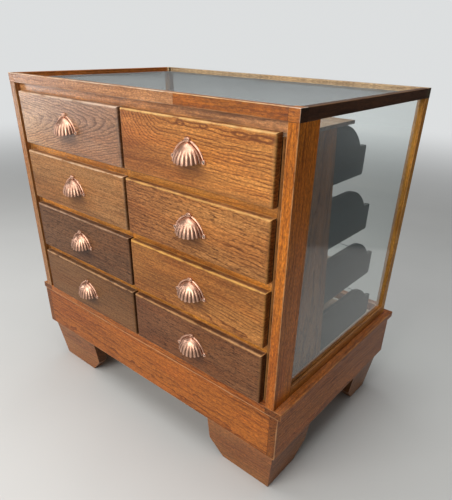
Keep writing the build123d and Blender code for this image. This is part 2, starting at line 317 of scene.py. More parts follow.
class Effect(Graph):
    """The tree of an effect group, with what the group is given."""

    def __init__(self, name: str, inputs: dict[str, str], outputs: dict[str, str]) -> None:
        """Starts the group.

        Args:
            name: The group's name.
            inputs: Socket types by input name.
            outputs: Socket types by output name.
        """
        super().__init__(bpy.data.node_groups.new(name, "ShaderNodeTree"))
        for way, kinds in (("INPUT", inputs), ("OUTPUT", outputs)):
            for label, kind in kinds.items():
                self.tree.interface.new_socket(label, in_out=way, socket_type=kind)
        start = self.node("NodeGroupInput")
        self.given = {label: Signal(self, start.outputs[label]) for label in inputs}

    def puts_out(self, **results: Signal) -> bpy.types.NodeTree:
        """Feeds the group's outputs and returns its tree."""
        self.node("NodeGroupOutput", results)
        return self.tree


class Surface(Graph):
    """The tree of a material, round its Principled shader."""

    def __init__(self, name: str) -> None:
        """Starts the material, with object coordinates as its place.

        Args:
            name: The material's name.
        """
        self.material = bpy.data.materials.new(name)
        self.material.use_nodes = True
        super().__init__(self.material.node_tree)
        self.tree.nodes.clear()
        self.shader = self.node("ShaderNodeBsdfPrincipled")
        self.main = Signal(self, self.shader.outputs[0])
        self.end = self.node("ShaderNodeOutputMaterial", {"Surface": self.main})
        self.place = self.out("ShaderNodeTexCoord", output="Object")

    def set(self, inputs: dict) -> None:
        """Feeds the Principled shader."""
        self.feed(self.shader, inputs)

    def relief(self, height: Signal, strength: float, distance: float) -> None:
        """Raises the surface.

        Args:
            height: The relief.
            strength: How much of it counts.
            distance: How far 1 of it stands out.
        """
        bump = {"Height": height, "Strength": strength, "Distance": distance}
        self.set({"Normal": self.out("ShaderNodeBump", bump)})

    def mix_in(self, share: Signal, shader: Signal) -> None:
        """Shows another shader in place of a share of the Principled one."""
        self.feed(self.end, {"Surface": self.out("ShaderNodeMixShader", {0: share, 1: self.main, 2: shader})})

    def cover(self, piece: bpy.types.Object) -> None:
        """Makes this the only material of a piece."""
        piece.data.materials.clear()
        piece.data.materials.append(self.material)


# ---------------------------------------------------------------- effects


@cache
def oak_figure() -> bpy.types.NodeTree:
    """Returns the group that draws a board's rings, streaks, flecks and pores.

    Place runs along the grain in X, across the board in Y and into it in Z, in metres. Close
    above 0 bends the rings together beyond the apex, and below 0 before it. Tilt is the slope of
    the pith across the board. The rings fade out where Y plus X times Fade's X falls from Fade's
    Z to its Y.
    """
    numbers = ("Taper", "Close", "Tilt", "Spacing", "Wander", "Contrast", "Flecks", "Push", "Seed", "Gloss")
    g = Effect(
        "oak_figure",
        dict.fromkeys(("Place", "Apex", "Fade"), VECTOR)
        | dict.fromkeys(numbers, FLOAT)
        | dict.fromkeys(("Pale", "Deep", "Pore"), COLOUR),
        {"Colour": COLOUR, "Roughness": FLOAT, "Height": FLOAT},
    )
    given = g.given
    seed = given["Seed"]
    place = given["Place"] + g.join(seed, seed * 1.7, seed * 2.3)

    bend = g.warp(place, (2.6, 9.0, 9.0)) * g.evenly(given["Wander"] * 2.0)
    ripple = g.noise(place, (20.0, 60.0, 60.0), detail=1.0)
    ripple = (ripple - 0.5) * (given["Spacing"] * 1.6)
    x, y, z = g.split(given["Place"] - given["Apex"] + bend)
    shut = g.math("MAXIMUM", 0.0, x * given["Close"])
    radius = g.length(g.join(shut, y - x * given["Tilt"], z)) + ripple + given["Push"]
    phase = (radius + x * given["Taper"]) / given["Spacing"]
    ring = g.math("FRACT", phase)
    year = g.math("FLOOR", phase)
    weight = g.out("ShaderNodeTexWhiteNoise", {"W": year}, "Value", noise_dimensions="1D")
    dash = g.ramp(g.noise(place, (30.0, 480.0, 480.0)), 0.34, 0.6, 0.45, 1.0)
    slope, faded, full = g.split(given["Fade"])
    along, across, _ = g.split(given["Place"])
    shown = g.math("DIVIDE", across + along * slope - faded, full - faded, clamp=True)
    late = g.math("POWER", ring, 2.8) * (weight * 0.9 + 0.55) * dash * (shown * 0.85 + 0.15)
    early = g.ramp(ring, 0.0, 0.35, 1.0, 0.0)

    streak = g.ramp(g.noise(place, (7.0, 230.0, 230.0), detail=3.0, roughness=0.6), 0.3, 0.72)
    blotch = g.ramp(g.noise(place, (2.4, 9.0, 9.0), detail=3.0, roughness=0.6), 0.3, 0.7, -0.5, 0.5)
    pores = g.ramp(g.noise(place, (70.0, 1150.0, 1150.0), detail=1.0), 0.54, 0.66)
    pores = pores * (early * 0.65 + 0.35)
    fleck = g.ramp(g.noise(place, (58.0, 400.0, 400.0), roughness=0.6), 0.55, 0.68) * given["Flecks"]
    grit = g.ramp(g.noise(place, (140.0, 360.0, 360.0), detail=3.0, roughness=0.7), 0.32, 0.68, 0.64, 1.32)
    warm = g.ramp(g.noise(place, (3.5, 22.0, 22.0)), 0.42, 0.68, 0.0, 0.7)

    share = late * given["Contrast"] + (1.0 - shown) * 0.4 + streak * 0.42
    share = g.math("ADD", share, blotch * 0.4, clamp=True)
    dark = g.math("MAXIMUM", pores * 0.6, fleck)
    colour = g.mix(share, given["Pale"], given["Deep"])
    colour = g.shade(g.mix(warm, colour, WARM_SHARE, "MULTIPLY"), grit)
    return g.puts_out(
        Colour=g.mix(dark, colour, given["Pore"]),
        Roughness=g.math("ADD", given["Gloss"] + share * 0.08, dark * 0.18, clamp=True),
        Height=late * -0.3 - dark * 0.8 + streak * 0.15,
    )


@cache
def pin_knot() -> bpy.types.NodeTree:
    """Returns the group that bends the rings round one small knot."""
    g = Effect(
        "pin_knot",
        {"Place": VECTOR, "Centre": VECTOR, "Size": VECTOR, "Strength": FLOAT},
        {"Push": FLOAT, "Dark": FLOAT},
    )
    place = g.given["Place"]
    away = (place - g.given["Centre"]) / g.given["Size"] + g.warp(place, (70.0, 170.0, 170.0))
    x, y, _ = g.split(away)
    distance = g.length(g.join(x, y, 0.0))
    rim = g.ramp(distance, 0.4, 0.85) - g.ramp(distance, 1.05, 1.6)
    core = g.ramp(distance, 0.1, 0.5, 0.5, 0.0)
    return g.puts_out(
        Push=g.ramp(distance, 0.0, 3.0, 1.0, 0.0) * g.given["Strength"],
        Dark=g.math("MAXIMUM", rim, core),
    )


@cache
def board_edges() -> bpy.types.NodeTree:
    """Returns the group that finds a board's worn arrises and the band of grime and painted shade along its
    edges.

    Place is measured from the board's middle, and Half is half the board's size. Upward keeps
    the wear to the arrises that look up, so their pale tone is both wear and a painted highlight.
    """
    g = Effect(
        "board_edges",
        {"Place": VECTOR, "Half": VECTOR, "Wear": FLOAT, "Upward": FLOAT, "Grime": FLOAT, "Seed": FLOAT},
        {"Worn": FLOAT, "Grime": FLOAT},
    )
    given = g.given
    a, b, c = g.split(given["Half"] - g.vector("ABSOLUTE", given["Place"]))
    farther = g.math("MAXIMUM", a, b)
    edge = g.math("MAXIMUM", g.math("MINIMUM", a, b), g.math("MINIMUM", farther, c))
    place = given["Place"] + g.evenly(given["Seed"])
    rub = g.ramp(g.noise(place, 26.0, detail=4.0, roughness=0.65), 0.25, 0.75, 0.3, 1.4)
    reach = g.math("MAXIMUM", given["Wear"] * rub, 0.1 * MM)
    worn = g.math("SUBTRACT", 1.25, edge / reach, clamp=True)
    # Painted highlight: the worn tone is kept mostly to arrises that look up, which the light from above
    # makes bright.
    kept = 1.0 - given["Upward"] + g.ramp(g.up(), -0.1, 0.55) * given["Upward"]
    # Grime and painted shade: a band darker within 14 mm of every edge, standing in for shade between parts
    # as well as dirt.
    patchiness = g.ramp(g.noise(place, 14.0, detail=3.0), 0.35, 0.7, 0.2, 1.0)
    band = g.ramp(edge, 1.5 * MM, 14.0 * MM, 1.0, 0.0)
    return g.puts_out(Worn=worn * kept, Grime=band * patchiness * given["Grime"])


@cache
def end_grain() -> bpy.types.NodeTree:
    """Returns the group that darkens the faces a board's grain runs into."""
    g = Effect(
        "end_grain",
        {"Place": VECTOR, "Run": VECTOR, "Colour": COLOUR, "Dark": FLOAT},
        {"Colour": COLOUR},
    )
    colour = g.given["Colour"]
    end = g.ramp(g.length(g.normal() * g.given["Run"]), 0.55, 0.9)
    rays = g.ramp(g.noise(g.given["Place"], (90.0, 90.0, 260.0), detail=3.0), 0.3, 0.7, 0.7, 1.2)
    return g.puts_out(Colour=g.mix(end, colour, g.shade(colour, rays * g.given["Dark"])))


@cache
def hand_smudge() -> bpy.types.NodeTree:
    """Returns the group that finds the dark patch under a pull: finger stain together with a painted shadow
    of the pull.
    """
    g = Effect(
        "hand_smudge",
        {"Place": VECTOR, "Centre": VECTOR, "Size": VECTOR, "Amount": FLOAT},
        {"Smudge": FLOAT},
    )
    place = g.given["Place"]
    away = g.length((place - g.given["Centre"]) / g.given["Size"])
    cloud = g.noise(place, (24.0, 50.0, 50.0), detail=3.0, roughness=0.6)
    return g.puts_out(Smudge=g.ramp(away + (cloud - 0.5), 0.25, 1.15, g.given["Amount"], 0.0))


@cache
def settled_dust() -> bpy.types.NodeTree:
    """Returns the group that finds where dust lies on faces that look up."""
    g = Effect("settled_dust", {"Place": VECTOR, "Amount": FLOAT}, {"Dust": FLOAT})
    drift = g.ramp(g.noise(g.given["Place"], 30.0, detail=4.0, roughness=0.7), 0.3, 0.75, 0.25, 1.0)
    return g.puts_out(Dust=g.ramp(g.up(), 0.6, 0.98) * drift * g.given["Amount"])


@cache
def hand_patina() -> bpy.types.NodeTree:
    """Returns the group that mottles worn metal and darkens its hollows."""
    g = Effect(
        "hand_patina",
        {"Place": VECTOR, "Hollow": FLOAT, "Amount": FLOAT, "Bright": COLOUR, "Dull": COLOUR, "Dark": COLOUR},
        {"Colour": COLOUR, "Roughness": FLOAT, "Height": FLOAT},
    )
    given = g.given
    cloud = g.ramp(g.noise(given["Place"], 70.0, detail=4.0, roughness=0.6), 0.35, 0.68)
    speck = g.noise(given["Place"], 620.0)
    dull = cloud * given["Amount"]
    hollow = g.math("ADD", given["Hollow"], g.ramp(speck, 0.62, 0.75) * 0.35, clamp=True)
    colour = g.mix(dull, given["Bright"], given["Dull"])
    return g.puts_out(
        Colour=g.mix(hollow, colour, given["Dark"]),
        Roughness=dull * 0.14 + 0.36 + hollow * 0.3,
        Height=cloud * 0.5 + speck * 0.3,
    )


@cache
def old_pane() -> bpy.types.NodeTree:
    """Returns the group that gives an old pane its slow ripple and the seeds in it."""
    g = Effect("old_pane", {"Place": VECTOR}, {"Height": FLOAT})
    ripple = g.noise(g.given["Place"], (4.0, 4.0, 1.6), detail=1.0)
    seeds = g.noise(g.given["Place"], (95.0, 95.0, 60.0), detail=1.0)
    return g.puts_out(Height=ripple + g.ramp(seeds, 0.76, 0.82, 0.0, 0.5))


# ---------------------------------------------------------------- finishes

HOLLOW = "hollow"
PALE_SHARE = (1.4, 1.44, 1.5)
DEEP_SHARE = (0.42, 0.32, 0.25)
PORE_SHARE = (0.24, 0.17, 0.13)
WARM_SHARE = (1.04, 0.88, 0.7)
KNOT_SHARE = (0.27, 0.17, 0.13)
# Tone share in the edge band of grime and painted shade.
GRIME_SHADE_SHARE = (0.38, 0.3, 0.26)
# Tone, place and size of the finger stain and painted shadow under a pull.
SMUDGE_SHADOW_SHARE = (0.34, 0.27, 0.24)
SMUDGE_SHADOW_PLACE = (6.0 * MM, -31.0 * MM, 0.0)
SMUDGE_SHADOW_SIZE = (58.0 * MM, 19.0 * MM, 1.0)
DUST_TONE = (0.62, 0.58, 0.52)
OUT_OF_WEAR = 100.0 * MM
COAT_GLOSS = 0.25
PORE_DEPTH = 0.6 * MM
PATINA_DEPTH = 0.3 * MM
RIPPLE_DEPTH = 2.0 * MM


def scaled(colour: Colour, factors: Colour) -> Colour:
    """Returns a colour times three factors, kept below 1."""
    return tuple(min(0.95, c * f) for c, f in zip(colour, factors))


def mesh_box(piece: bpy.types.Object) -> tuple[Vector, Vector]:
    """Measures a piece's mesh.

    Args:
        piece: The piece.

    Returns:
        The middle and half the size of its box.
    """
    corners = [Vector(c) for c in piece.bound_box]
    low = Vector(min(c[i] for c in corners) for i in range(3))
    high = Vector(max(c[i] for c in corners) for i in range(3))
    return (low + high) / 2, (high - low) / 2


@dataclass(frozen=True)
class Knot:
    """A small knot: its place on the board's face, its size, and how far it bends the rings."""

    along: float
    across: float
    length: float
    width: float
    strength: float

    def mark(self, g: Graph, grain: Signal) -> dict[str, Signal]:
        """Places the knot's group.

        Args:
            g: The board's material.
            grain: Place on the board, along the grain first.

        Returns:
            How far the knot pushes the rings, and how dark it is.
        """
        values = {
            "Place": grain,
            "Centre": (self.along, self.across, 0.0),
            "Size": (self.length, self.width, 1.0),
            "Strength": self.strength,
        }
        return g.group(pin_knot(), values)


@dataclass(frozen=True)
class Figure:
    """Where in the log a board was cut, in metres from the board's middle."""

    along: float = 0.0
    across: float = 0.03
    depth: float = 0.07
    taper: float = 0.03
    close: float = 0.0
    tilt: float = 0.0
    fade: Point = (0.0, -9.0, -8.0)
    spacing: float = 0.009
    wander: float = 0.01
    contrast: float = 0.45
    flecks: float = 0.35
    knots: tuple[Knot, ...] = ()

    def values(self) -> dict:
        """Returns the figure's values by the names of the oak group's inputs."""
        names = ("taper", "close", "tilt", "fade", "spacing", "wander", "contrast", "flecks")
        values = {name.capitalize(): getattr(self, name) for name in names}
        return values | {"Apex": (self.along, self.across, self.depth)}


@dataclass(frozen=True)
class OakFinish:
    """Waxed, handled oak of one tone."""

    tone: Colour
    gloss: float = 0.38
    coat: float = 0.08
    specular: float = 0.35
    wear: float = 1.8 * MM
    # Pale tone of worn arrises, also a painted highlight on those that look up.
    worn: Colour = (0.7, 0.42, 0.2)
    worn_lit_share: float = 0.5
    worn_ends: bool = False
    upward: float = 0.7
    ends: float = 0.35
    # Ramp along the grain to a factor on the colour: painted sheen or shade on a drawer front's left end, a
    # darker right end on the front rail.
    end_ramp: Point = (8.0, 9.0, 1.0)
    # Strength of the edge band of grime and painted shade.
    grime_shade: float = 0.5
    dust: float = 0.08
    relief: float = 0.4
    # Strength of the finger stain and painted shadow under the pull.
    smudge_shadow: float = 0.0

    def dress(
        self,
        piece: bpy.types.Object,
        along: Along,
        figure: Figure,
        seed: float,
        inward: Point = NO_SHIFT,
    ) -> None:
        """Gives one board its own oak.

        Args:
            piece: The board.
            along: The axis its grain follows.
            figure: Where in the log it was cut.
            seed: Tells this board from the others.
            inward: Points to the side where another board meets it, which has no wear.
        """
        middle, half = mesh_box(piece)
        g = Surface("oak_" + piece.name)
        place = g.place - tuple(middle)
        axes = g.split(place)
        others = [i for i in range(3) if i != along.value]
        across, into = sorted(others, key=lambda i: -half[i])
        grain = g.join(axes[along.value], axes[across], axes[into])

        push, dark = 0.0, 0.0
        for knot in figure.knots:
            found = knot.mark(g, grain)
            push = g.math("ADD", push, found["Push"])
            dark = g.math("MAXIMUM", dark, found["Dark"])
        tones = {
            "Pale": scaled(self.tone, PALE_SHARE),
            "Deep": scaled(self.tone, DEEP_SHARE),
            "Pore": scaled(self.tone, PORE_SHARE),
        }
        values = {"Place": grain, "Push": push, "Seed": seed, "Gloss": self.gloss}
        oak = g.group(oak_figure(), values | figure.values() | tones)
        colour = oak["Colour"]
        if figure.knots:
            colour = g.mix(dark * 0.8, colour, scaled(self.tone, KNOT_SHARE))

        if not self.worn_ends:
            half[along.value] += OUT_OF_WEAR
        values = {
            "Place": place - inward,
            "Half": tuple(h + abs(i) for h, i in zip(half, inward)),
            "Wear": self.wear,
            "Upward": self.upward,
            "Grime": self.grime_shade,
            "Seed": seed,
        }
        rims = g.group(board_edges(), values)
        # Grime and painted shade darken the band along the board's edges.
        colour = g.mix(rims["Grime"], colour, scaled(self.tone, GRIME_SHADE_SHARE))
        # Finger stain and painted shadow under the pull.
        if self.smudge_shadow:
            colour = g.mix(self.smudge_shadow_under_pull(g, grain), colour, scaled(self.tone, SMUDGE_SHADOW_SHARE))
        # Multiplies the colour along the grain: painted sheen or painted shade on drawer fronts, a darker end
        # on the front rail.
        start, end, depth = self.end_ramp
        end_ramp = g.ramp(axes[along.value], start, end, 1.0, depth)
        colour = g.mix(1.0, colour, g.join(end_ramp, g.math("POWER", end_ramp, 1.3), end_ramp), "MULTIPLY")
        run = tuple(float(i == along.value) for i in range(3))
        values = {"Place": g.place, "Run": run, "Colour": colour, "Dark": self.ends}
        colour = g.group(end_grain(), values)["Colour"]
        # Wear and painted highlight: the pale tone on rounded arrises, strongest where they look up.
        colour = g.mix(rims["Worn"] * self.worn_lit_share, colour, self.worn)
        dust = g.group(settled_dust(), {"Place": g.place, "Amount": self.dust})["Dust"]
        g.set(
            {
                "Base Color": g.mix(dust, colour, DUST_TONE),
                "Roughness": g.math("ADD", oak["Roughness"], dust * 0.3, clamp=True),
                "Specular IOR Level": self.specular,
                "Coat Weight": self.coat,
                "Coat Roughness": COAT_GLOSS,
            }
        )
        g.relief(oak["Height"], self.relief, PORE_DEPTH)
        g.cover(piece)

    def smudge_shadow_under_pull(self, g: Graph, grain: Signal) -> Signal:
        """Finds the finger stain and painted shadow under the pull of a drawer front.

        Args:
            g: The front's material.
            grain: Place on the front, along the grain first.

        Returns:
            How dark the stain and painted shadow are.
        """
        values = {
            "Place": grain * (1.0, 1.0, 0.0),
            "Centre": SMUDGE_SHADOW_PLACE,
            "Size": SMUDGE_SHADOW_SIZE,
            "Amount": self.smudge_shadow,
        }
        return g.group(hand_smudge(), values)["Smudge"]


@dataclass(frozen=True)
class MetalFinish:
    """Cast metal, polished by hands on its high parts and dark in its hollows."""

    name: str
    bright: Colour
    dull: Colour
    dark: Colour
    amount: float = 0.7
    relief: float = 0.25

    def dress(self, piece: bpy.types.Object) -> None:
        """Gives one casting its metal.

        Args:
            piece: The casting.
        """
        g = Surface(f"{self.name}_{piece.name}")
        values = {
            "Place": g.place,
            "Hollow": g.out("ShaderNodeAttribute", output="Fac", attribute_name=HOLLOW),
            "Amount": self.amount,
            "Bright": self.bright,
            "Dull": self.dull,
            "Dark": self.dark,
        }
        metal = g.group(hand_patina(), values)
        g.set({"Base Color": metal["Colour"], "Roughness": metal["Roughness"], "Metallic": 1.0})
        g.relief(metal["Height"], self.relief, PATINA_DEPTH)
        g.cover(piece)


@dataclass(frozen=True)
class GlassFinish:
    """Clear old pane that lets lamps and soft light through to what stands behind it."""

    name: str
    tint: Colour = (0.955, 0.98, 0.972)
    ripple: float = 0.05

    def dress(self, pane: bpy.types.Object) -> None:
        """Gives one pane its glass.

        Args:
            pane: The pane.
        """
        g = Surface(f"{self.name}_{pane.name}")
        g.set({"Base Color": self.tint, "Transmission Weight": 1.0, "IOR": 1.5, "Roughness": 0.0})
        g.relief(g.group(old_pane(), {"Place": g.place})["Height"], self.ripple, RIPPLE_DEPTH)
        lets_through = g.math("MAXIMUM", *g.rays("Shadow", "Diffuse"))
        g.mix_in(lets_through, g.out("ShaderNodeBsdfTransparent", {"Color": self.tint}))
        g.cover(pane)


INNER_RAIL_OAK = OakFinish(tone=(0.5, 0.2, 0.03), grime_shade=0.7)
RAIL_OAK = OakFinish(tone=(0.37, 0.115, 0.012), coat=0.1, worn=(0.8, 0.56, 0.33), worn_lit_share=0.8, ends=0.15)
FRONT_RAIL_OAK = OakFinish(
    tone=(0.34, 0.106, 0.011),
    coat=0.1,
    worn=(0.8, 0.52, 0.26),
    worn_lit_share=0.8,
    ends=0.12,
    # Darker towards the right end.
    end_ramp=(0.05, 0.2, 0.5),
)
# Painted sheen: paler, greyer copy of the front rail oak for its left length.
SHEEN_RAIL_OAK = OakFinish(
    tone=(0.4, 0.18, 0.07),
    gloss=0.34,
    coat=0.12,
    worn=(0.85, 0.68, 0.5),
    worn_lit_share=0.8,
)
CORNER_OAK = OakFinish(
    tone=(0.32, 0.095, 0.011),
    coat=0.05,
    worn=(0.85, 0.7, 0.55),
    worn_lit_share=0.9,
    worn_ends=True,
    ends=0.14,
)
# Painted sheen: paler, greyer copy of the corner oak for the front rail's left block.
SHEEN_CORNER_OAK = replace(CORNER_OAK, tone=(0.36, 0.17, 0.07), coat=0.1, ends=0.35)
# Painted shade: near-black copy of the rail oak for the right top rail, which faces away from the light.
SHADED_RIGHT_RAIL_OAK = OakFinish(tone=(0.075, 0.026, 0.008), gloss=0.36, coat=0.1, worn=(0.4, 0.2, 0.08))
BASE_RAIL_OAK = OakFinish(tone=(0.36, 0.125, 0.016), gloss=0.36, specular=0.25, worn=(0.6, 0.3, 0.1))
REAR_RAIL_OAK = OakFinish(tone=(0.42, 0.3, 0.17), gloss=0.4, worn=(0.8, 0.66, 0.48), ends=0.2)
STILE_OAK = OakFinish(
    tone=(0.42, 0.122, 0.008),
    gloss=0.36,
    specular=0.25,
    coat=0.05,
    grime_shade=0.4,
    upward=0.0,
    worn_lit_share=0.4,
)
# Painted sheen: greyer copy of the stile oak for the left front post.
SHEEN_STILE_OAK = OakFinish(tone=(0.33, 0.14, 0.04), gloss=0.36, grime_shade=0.6, upward=0.0, worn_lit_share=0.4)
REAR_STILE_OAK = OakFinish(
    tone=(0.55, 0.25, 0.045),
    gloss=0.42,
    specular=0.2,
    coat=0.02,
    upward=0.0,
    worn_lit_share=0.3,
)
HEADER_OAK = OakFinish(tone=(0.5, 0.23, 0.082), gloss=0.34, specular=0.6, grime_shade=0.9)
PLINTH_OAK = OakFinish(
    tone=(0.31, 0.088, 0.009),
    gloss=0.42,
    specular=0.22,
    wear=2.6 * MM,
    worn=(0.72, 0.42, 0.2),
    upward=0.3,
    ends=0.55,
)
FOOT_OAK = OakFinish(tone=(0.235, 0.082, 0.016), gloss=0.42, worn_lit_share=0.4, upward=0.2, ends=0.5)
CAP_OAK = OakFinish(
    tone=(0.33, 0.092, 0.009),
    specular=0.22,
    coat=0.05,
    wear=2.5 * MM,
    worn=(0.72, 0.36, 0.13),
    ends=0.45,
)
GABLE_WOOD = OakFinish(
    tone=(0.17, 0.068, 0.018),
    gloss=0.5,
    specular=0.1,
    coat=0.0,
    wear=7.0 * MM,
    worn=(0.42, 0.19, 0.06),
    worn_lit_share=0.6,
    upward=0.0,
)
BOTTOM_WOOD = OakFinish(tone=(0.3, 0.2, 0.12), gloss=0.6, coat=0.0, wear=1.0 * MM)
DUST_BOARD_WOOD = replace(BOTTOM_WOOD, tone=(0.32, 0.21, 0.13), gloss=0.55, grime_shade=0.6)
PALE_WOOD = replace(BOTTOM_WOOD, tone=(0.5, 0.37, 0.25), gloss=0.55, grime_shade=0.25, dust=0.3)
RUNNER_WOOD = replace(BOTTOM_WOOD, tone=(0.42, 0.3, 0.19), dust=0.2)
# Near-black stained box sides; their faint teal tint is a painted reflection.
DARK_BOX_WOOD_TEAL_REFLECTION = OakFinish(
    tone=(0.022, 0.032, 0.034),
    gloss=0.5,
    specular=0.05,
    coat=0.0,
    wear=1.2 * MM,
    worn=(0.1, 0.09, 0.08),
    grime_shade=0.3,
    dust=0.12,
    relief=0.12,
)
COPPER = MetalFinish("copper", (0.73, 0.43, 0.3), (0.42, 0.225, 0.155), (0.05, 0.026, 0.018))
SCREW_METAL = MetalFinish("steel", (0.5, 0.42, 0.36), (0.24, 0.18, 0.15), (0.02, 0.016, 0.014))
CASE_GLASS = GlassFinish("case_glass")
END_GLASS = GlassFinish("end_glass", ripple=0.09)


# ---------------------------------------------------------------- meshes

SHARP = math.radians(35)
FLAT = math.radians(0.6)
WELD = 0.004 * MM
ALIGNED = 0.9

Shape = bmesh.types.BMesh


@dataclass(frozen=True)
class Place:
    """What a piece rides on, the nodes it stands for and the slot of its finish."""

    body: str
    nodes: tuple[str, ...]
    slot: Slot


def add_piece(name: str, shape: Shape, place: Place) -> bpy.types.Object:
    """Turns a finished shape into a piece of the cabinet.

    Args:
        name: The piece's name.
        shape: The shape, which is freed.
        place: What it rides on and stands for.

    Returns:
        The piece.
    """
    mesh = bpy.data.meshes.new(name)
    shape.to_mesh(mesh)
    shape.free()
    mesh.polygons.foreach_set("use_smooth", [True] * len(mesh.polygons))
    piece = bpy.data.objects.new(name, mesh)
    bpy.context.scene.collection.objects.link(piece)
    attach(piece, place.body)
    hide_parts(*place.nodes)
    return piece


def round_arrises(
    piece: bpy.types.Object,
    radius: float,
    steps: int,
    share: Callable[[Vector, Vector], float],
) -> None:
    """Rounds a piece's sharp edges and keeps its faces flat.

    Args:
        piece: The piece.
        radius: The full rounding.
        steps: Steps in the rounding.
        share: Gives an edge's share of the rounding from its middle and its direction.
    """
    shape = bmesh.new()
    shape.from_mesh(piece.data)
    weight = shape.edges.layers.float.new("bevel_weight_edge")
    for edge in shape.edges:
        if edge.is_manifold and edge.calc_face_angle(0.0) > SHARP:
            start, end = (v.co for v in edge.verts)
            edge[weight] = share((start + end) / 2, (end - start).normalized())
    shape.to_mesh(piece.data)
    shape.free()
    bevel = piece.modifiers.new("arrises", "BEVEL")
    bevel.width = radius
    bevel.segments = steps
    bevel.limit_method = "WEIGHT"
    bevel.harden_normals = True
    bevel.use_clamp_overlap = True


def long_edges(along: Along, ends: float = 0.3) -> Callable[[Vector, Vector], float]:
    """Returns the share that rounds a board's long edges in full and its ends less."""
    return lambda middle, run: 1.0 if abs(run[along.value]) > ALIGNED else ends


def all_edges(middle: Vector, run: Vector) -> float:
    """Returns the share that rounds every edge in full."""
    return 1.0


def block(low: Vector, high: Vector) -> Shape:
    """Squares a timber.

    Args:
        low: Its lowest corner.
        high: Its highest corner.

    Returns:
        The shape.
    """
    shape = bmesh.new()
    bmesh.ops.create_cube(shape, size=1.0)
    bmesh.ops.scale(shape, vec=high - low, verts=shape.verts)
    bmesh.ops.translate(shape, vec=(low + high) / 2, verts=shape.verts)
    return shape


def moulding(outline: list[Span], along: Along, span: Span) -> Shape:
    """Runs a section along an axis.

    Args:
        outline: The section's corners on the other two axes, in their order.
        along: The axis it runs on.
        span: Where it starts and ends.

    Returns:
        The shape.
    """
    shape = bmesh.new()
    ends = []
    for place in span:
        corners = []
        for first, second in outline:
            at = [first, second]
            at.insert(along.value, place)
            corners.append(shape.verts.new(at))
        ends.append(corners)
    count = len(outline)
    for i in range(count):
        j = (i + 1) % count
        shape.faces.new((ends[0][i], ends[0][j], ends[1][j], ends[1][i]))
    shape.faces.new(ends[0])
    shape.faces.new(ends[1])
    bmesh.ops.recalc_face_normals(shape, faces=shape.faces)
    return shape


def solids_of(node: str) -> list[Shape]:
    """Returns a CAD node's solids as clean shapes, from low to high, front to rear and left to right.

    Args:
        node: The node's name.

    Returns:
        One shape for each solid.
    """
    whole = bmesh.new()
    whole.from_mesh(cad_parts[node].data)
    bmesh.ops.remove_doubles(whole, verts=whole.verts, dist=WELD)
    bmesh.ops.dissolve_limit(whole, angle_limit=FLAT, verts=whole.verts, edges=whole.edges)
    whole.verts.index_update()
    whole.faces.index_update()
    waiting = set(whole.faces)
    solids = []
    while waiting:
        reached = [waiting.pop()]
        island = set(reached)
        while reached:
            face = reached.pop()
            joined = [e for e in face.edges if len(e.link_faces) == 2]
            for other in {f for e in joined for f in e.link_faces} & waiting:
                waiting.discard(other)
                island.add(other)
                reached.append(other)
        solids.append(copy_island(island))
    whole.free()
    solids.sort(key=lambda s: tuple(round(c, 3) for c in reversed(shape_middle(s))))
    return solids


def copy_island(island: set[bmesh.types.BMFace]) -> Shape:
    """Copies faces that hang together.

    Args:
        island: The faces.

    Returns:
        A shape of their own.
    """
    shape = bmesh.new()
    corners = {v for face in island for v in face.verts}
    copies = {v: shape.verts.new(v.co) for v in sorted(corners, key=lambda v: v.index)}
    for face in sorted(island, key=lambda f: f.index):
        shape.faces.new([copies[v] for v in face.verts])
    bmesh.ops.recalc_face_normals(shape, faces=shape.faces)
    return shape


def shape_box(shape: Shape) -> tuple[Vector, Vector]:
    """Measures a shape.

    Args:
        shape: The shape.

    Returns:
        The lowest and the highest corner of its box.
    """
    low = Vector(min(v.co[i] for v in shape.verts) for i in range(3))
    high = Vector(max(v.co[i] for v in shape.verts) for i in range(3))
    return low, high


def shape_middle(shape: Shape) -> Vector:
    """Returns the middle of a shape's box."""
    low, high = shape_box(shape)
    return (low + high) / 2


def longer_way(shape: Shape) -> Along:
    """Returns the level axis on which a shape is longer."""
    low, high = shape_box(shape)
    return Along.X if high.x - low.x > high.y - low.y else Along.Y


def turned(shape: Shape, profile: list[Span], centre: Vector, steps: int = 28) -> list[bmesh.types.BMVert]:
    """Adds a round form turned about an axis that comes out of a drawer front.

    Args:
        shape: The shape it joins.
        profile: Radius and height above the front, from the middle outward.
        centre: The axis's foot on the drawer front.
        steps: Steps round the axis.

    Returns:
        The new vertices.
    """
    rings = []
    for radius, height in profile:
        if radius == 0:
            rings.append([shape.verts.new(centre + Vector((0, -height, 0)))])
            continue
        ring = []
        for i in range(steps):
            turn = 2 * math.pi * i / steps
            out = Vector((radius * math.cos(turn), -height, radius * math.sin(turn)))
            ring.append(shape.verts.new(centre + out))
        rings.append(ring)
    for inner, outer in zip(rings, rings[1:]):
        for i in range(steps):
            j = (i + 1) % steps
            if len(inner) == 1:
                shape.faces.new((inner[0], outer[j], outer[i]))
            else:
                shape.faces.new((inner[i], inner[j], outer[j], outer[i]))
    return [v for ring in rings for v in ring]


# ---------------------------------------------------------------- the case


class Side(Enum):
    """Side of the cabinet, from the front."""

    LEFT = "left"
    RIGHT = "right"


@dataclass
class Joinery:
    """Boards of one part of the cabinet, which all ride on the case."""

    arris: float = 1.0 * MM
    steps: int = 3
    seed_step: float = 1.0
    first_seed: int = 1
    pieces: list[bpy.types.Object] = field(default_factory=list)

    def keep(
        self,
        name: str,
        shape: Shape,
        place: Place,
        finish: OakFinish,
        figure: Figure,
        along: Along,
        inward: Point = NO_SHIFT,
    ) -> None:
        """Adds one board, rounds it and dresses it.

        Args:
            name: The board's name.
            shape: Its shape.
            place: What it rides on and stands for.
            finish: Its finish.
            figure: Its ring pattern.
            along: Its grain.
            inward: Points to the sides where other boards meet it.
        """
        piece = add_piece(name, shape, place)
        round_arrises(piece, self.arris, self.steps, long_edges(along))
        seed = self.seed_step * (len(self.pieces) + self.first_seed)
        finish.dress(piece, along, figure, seed, inward)
        self.pieces.append(piece)


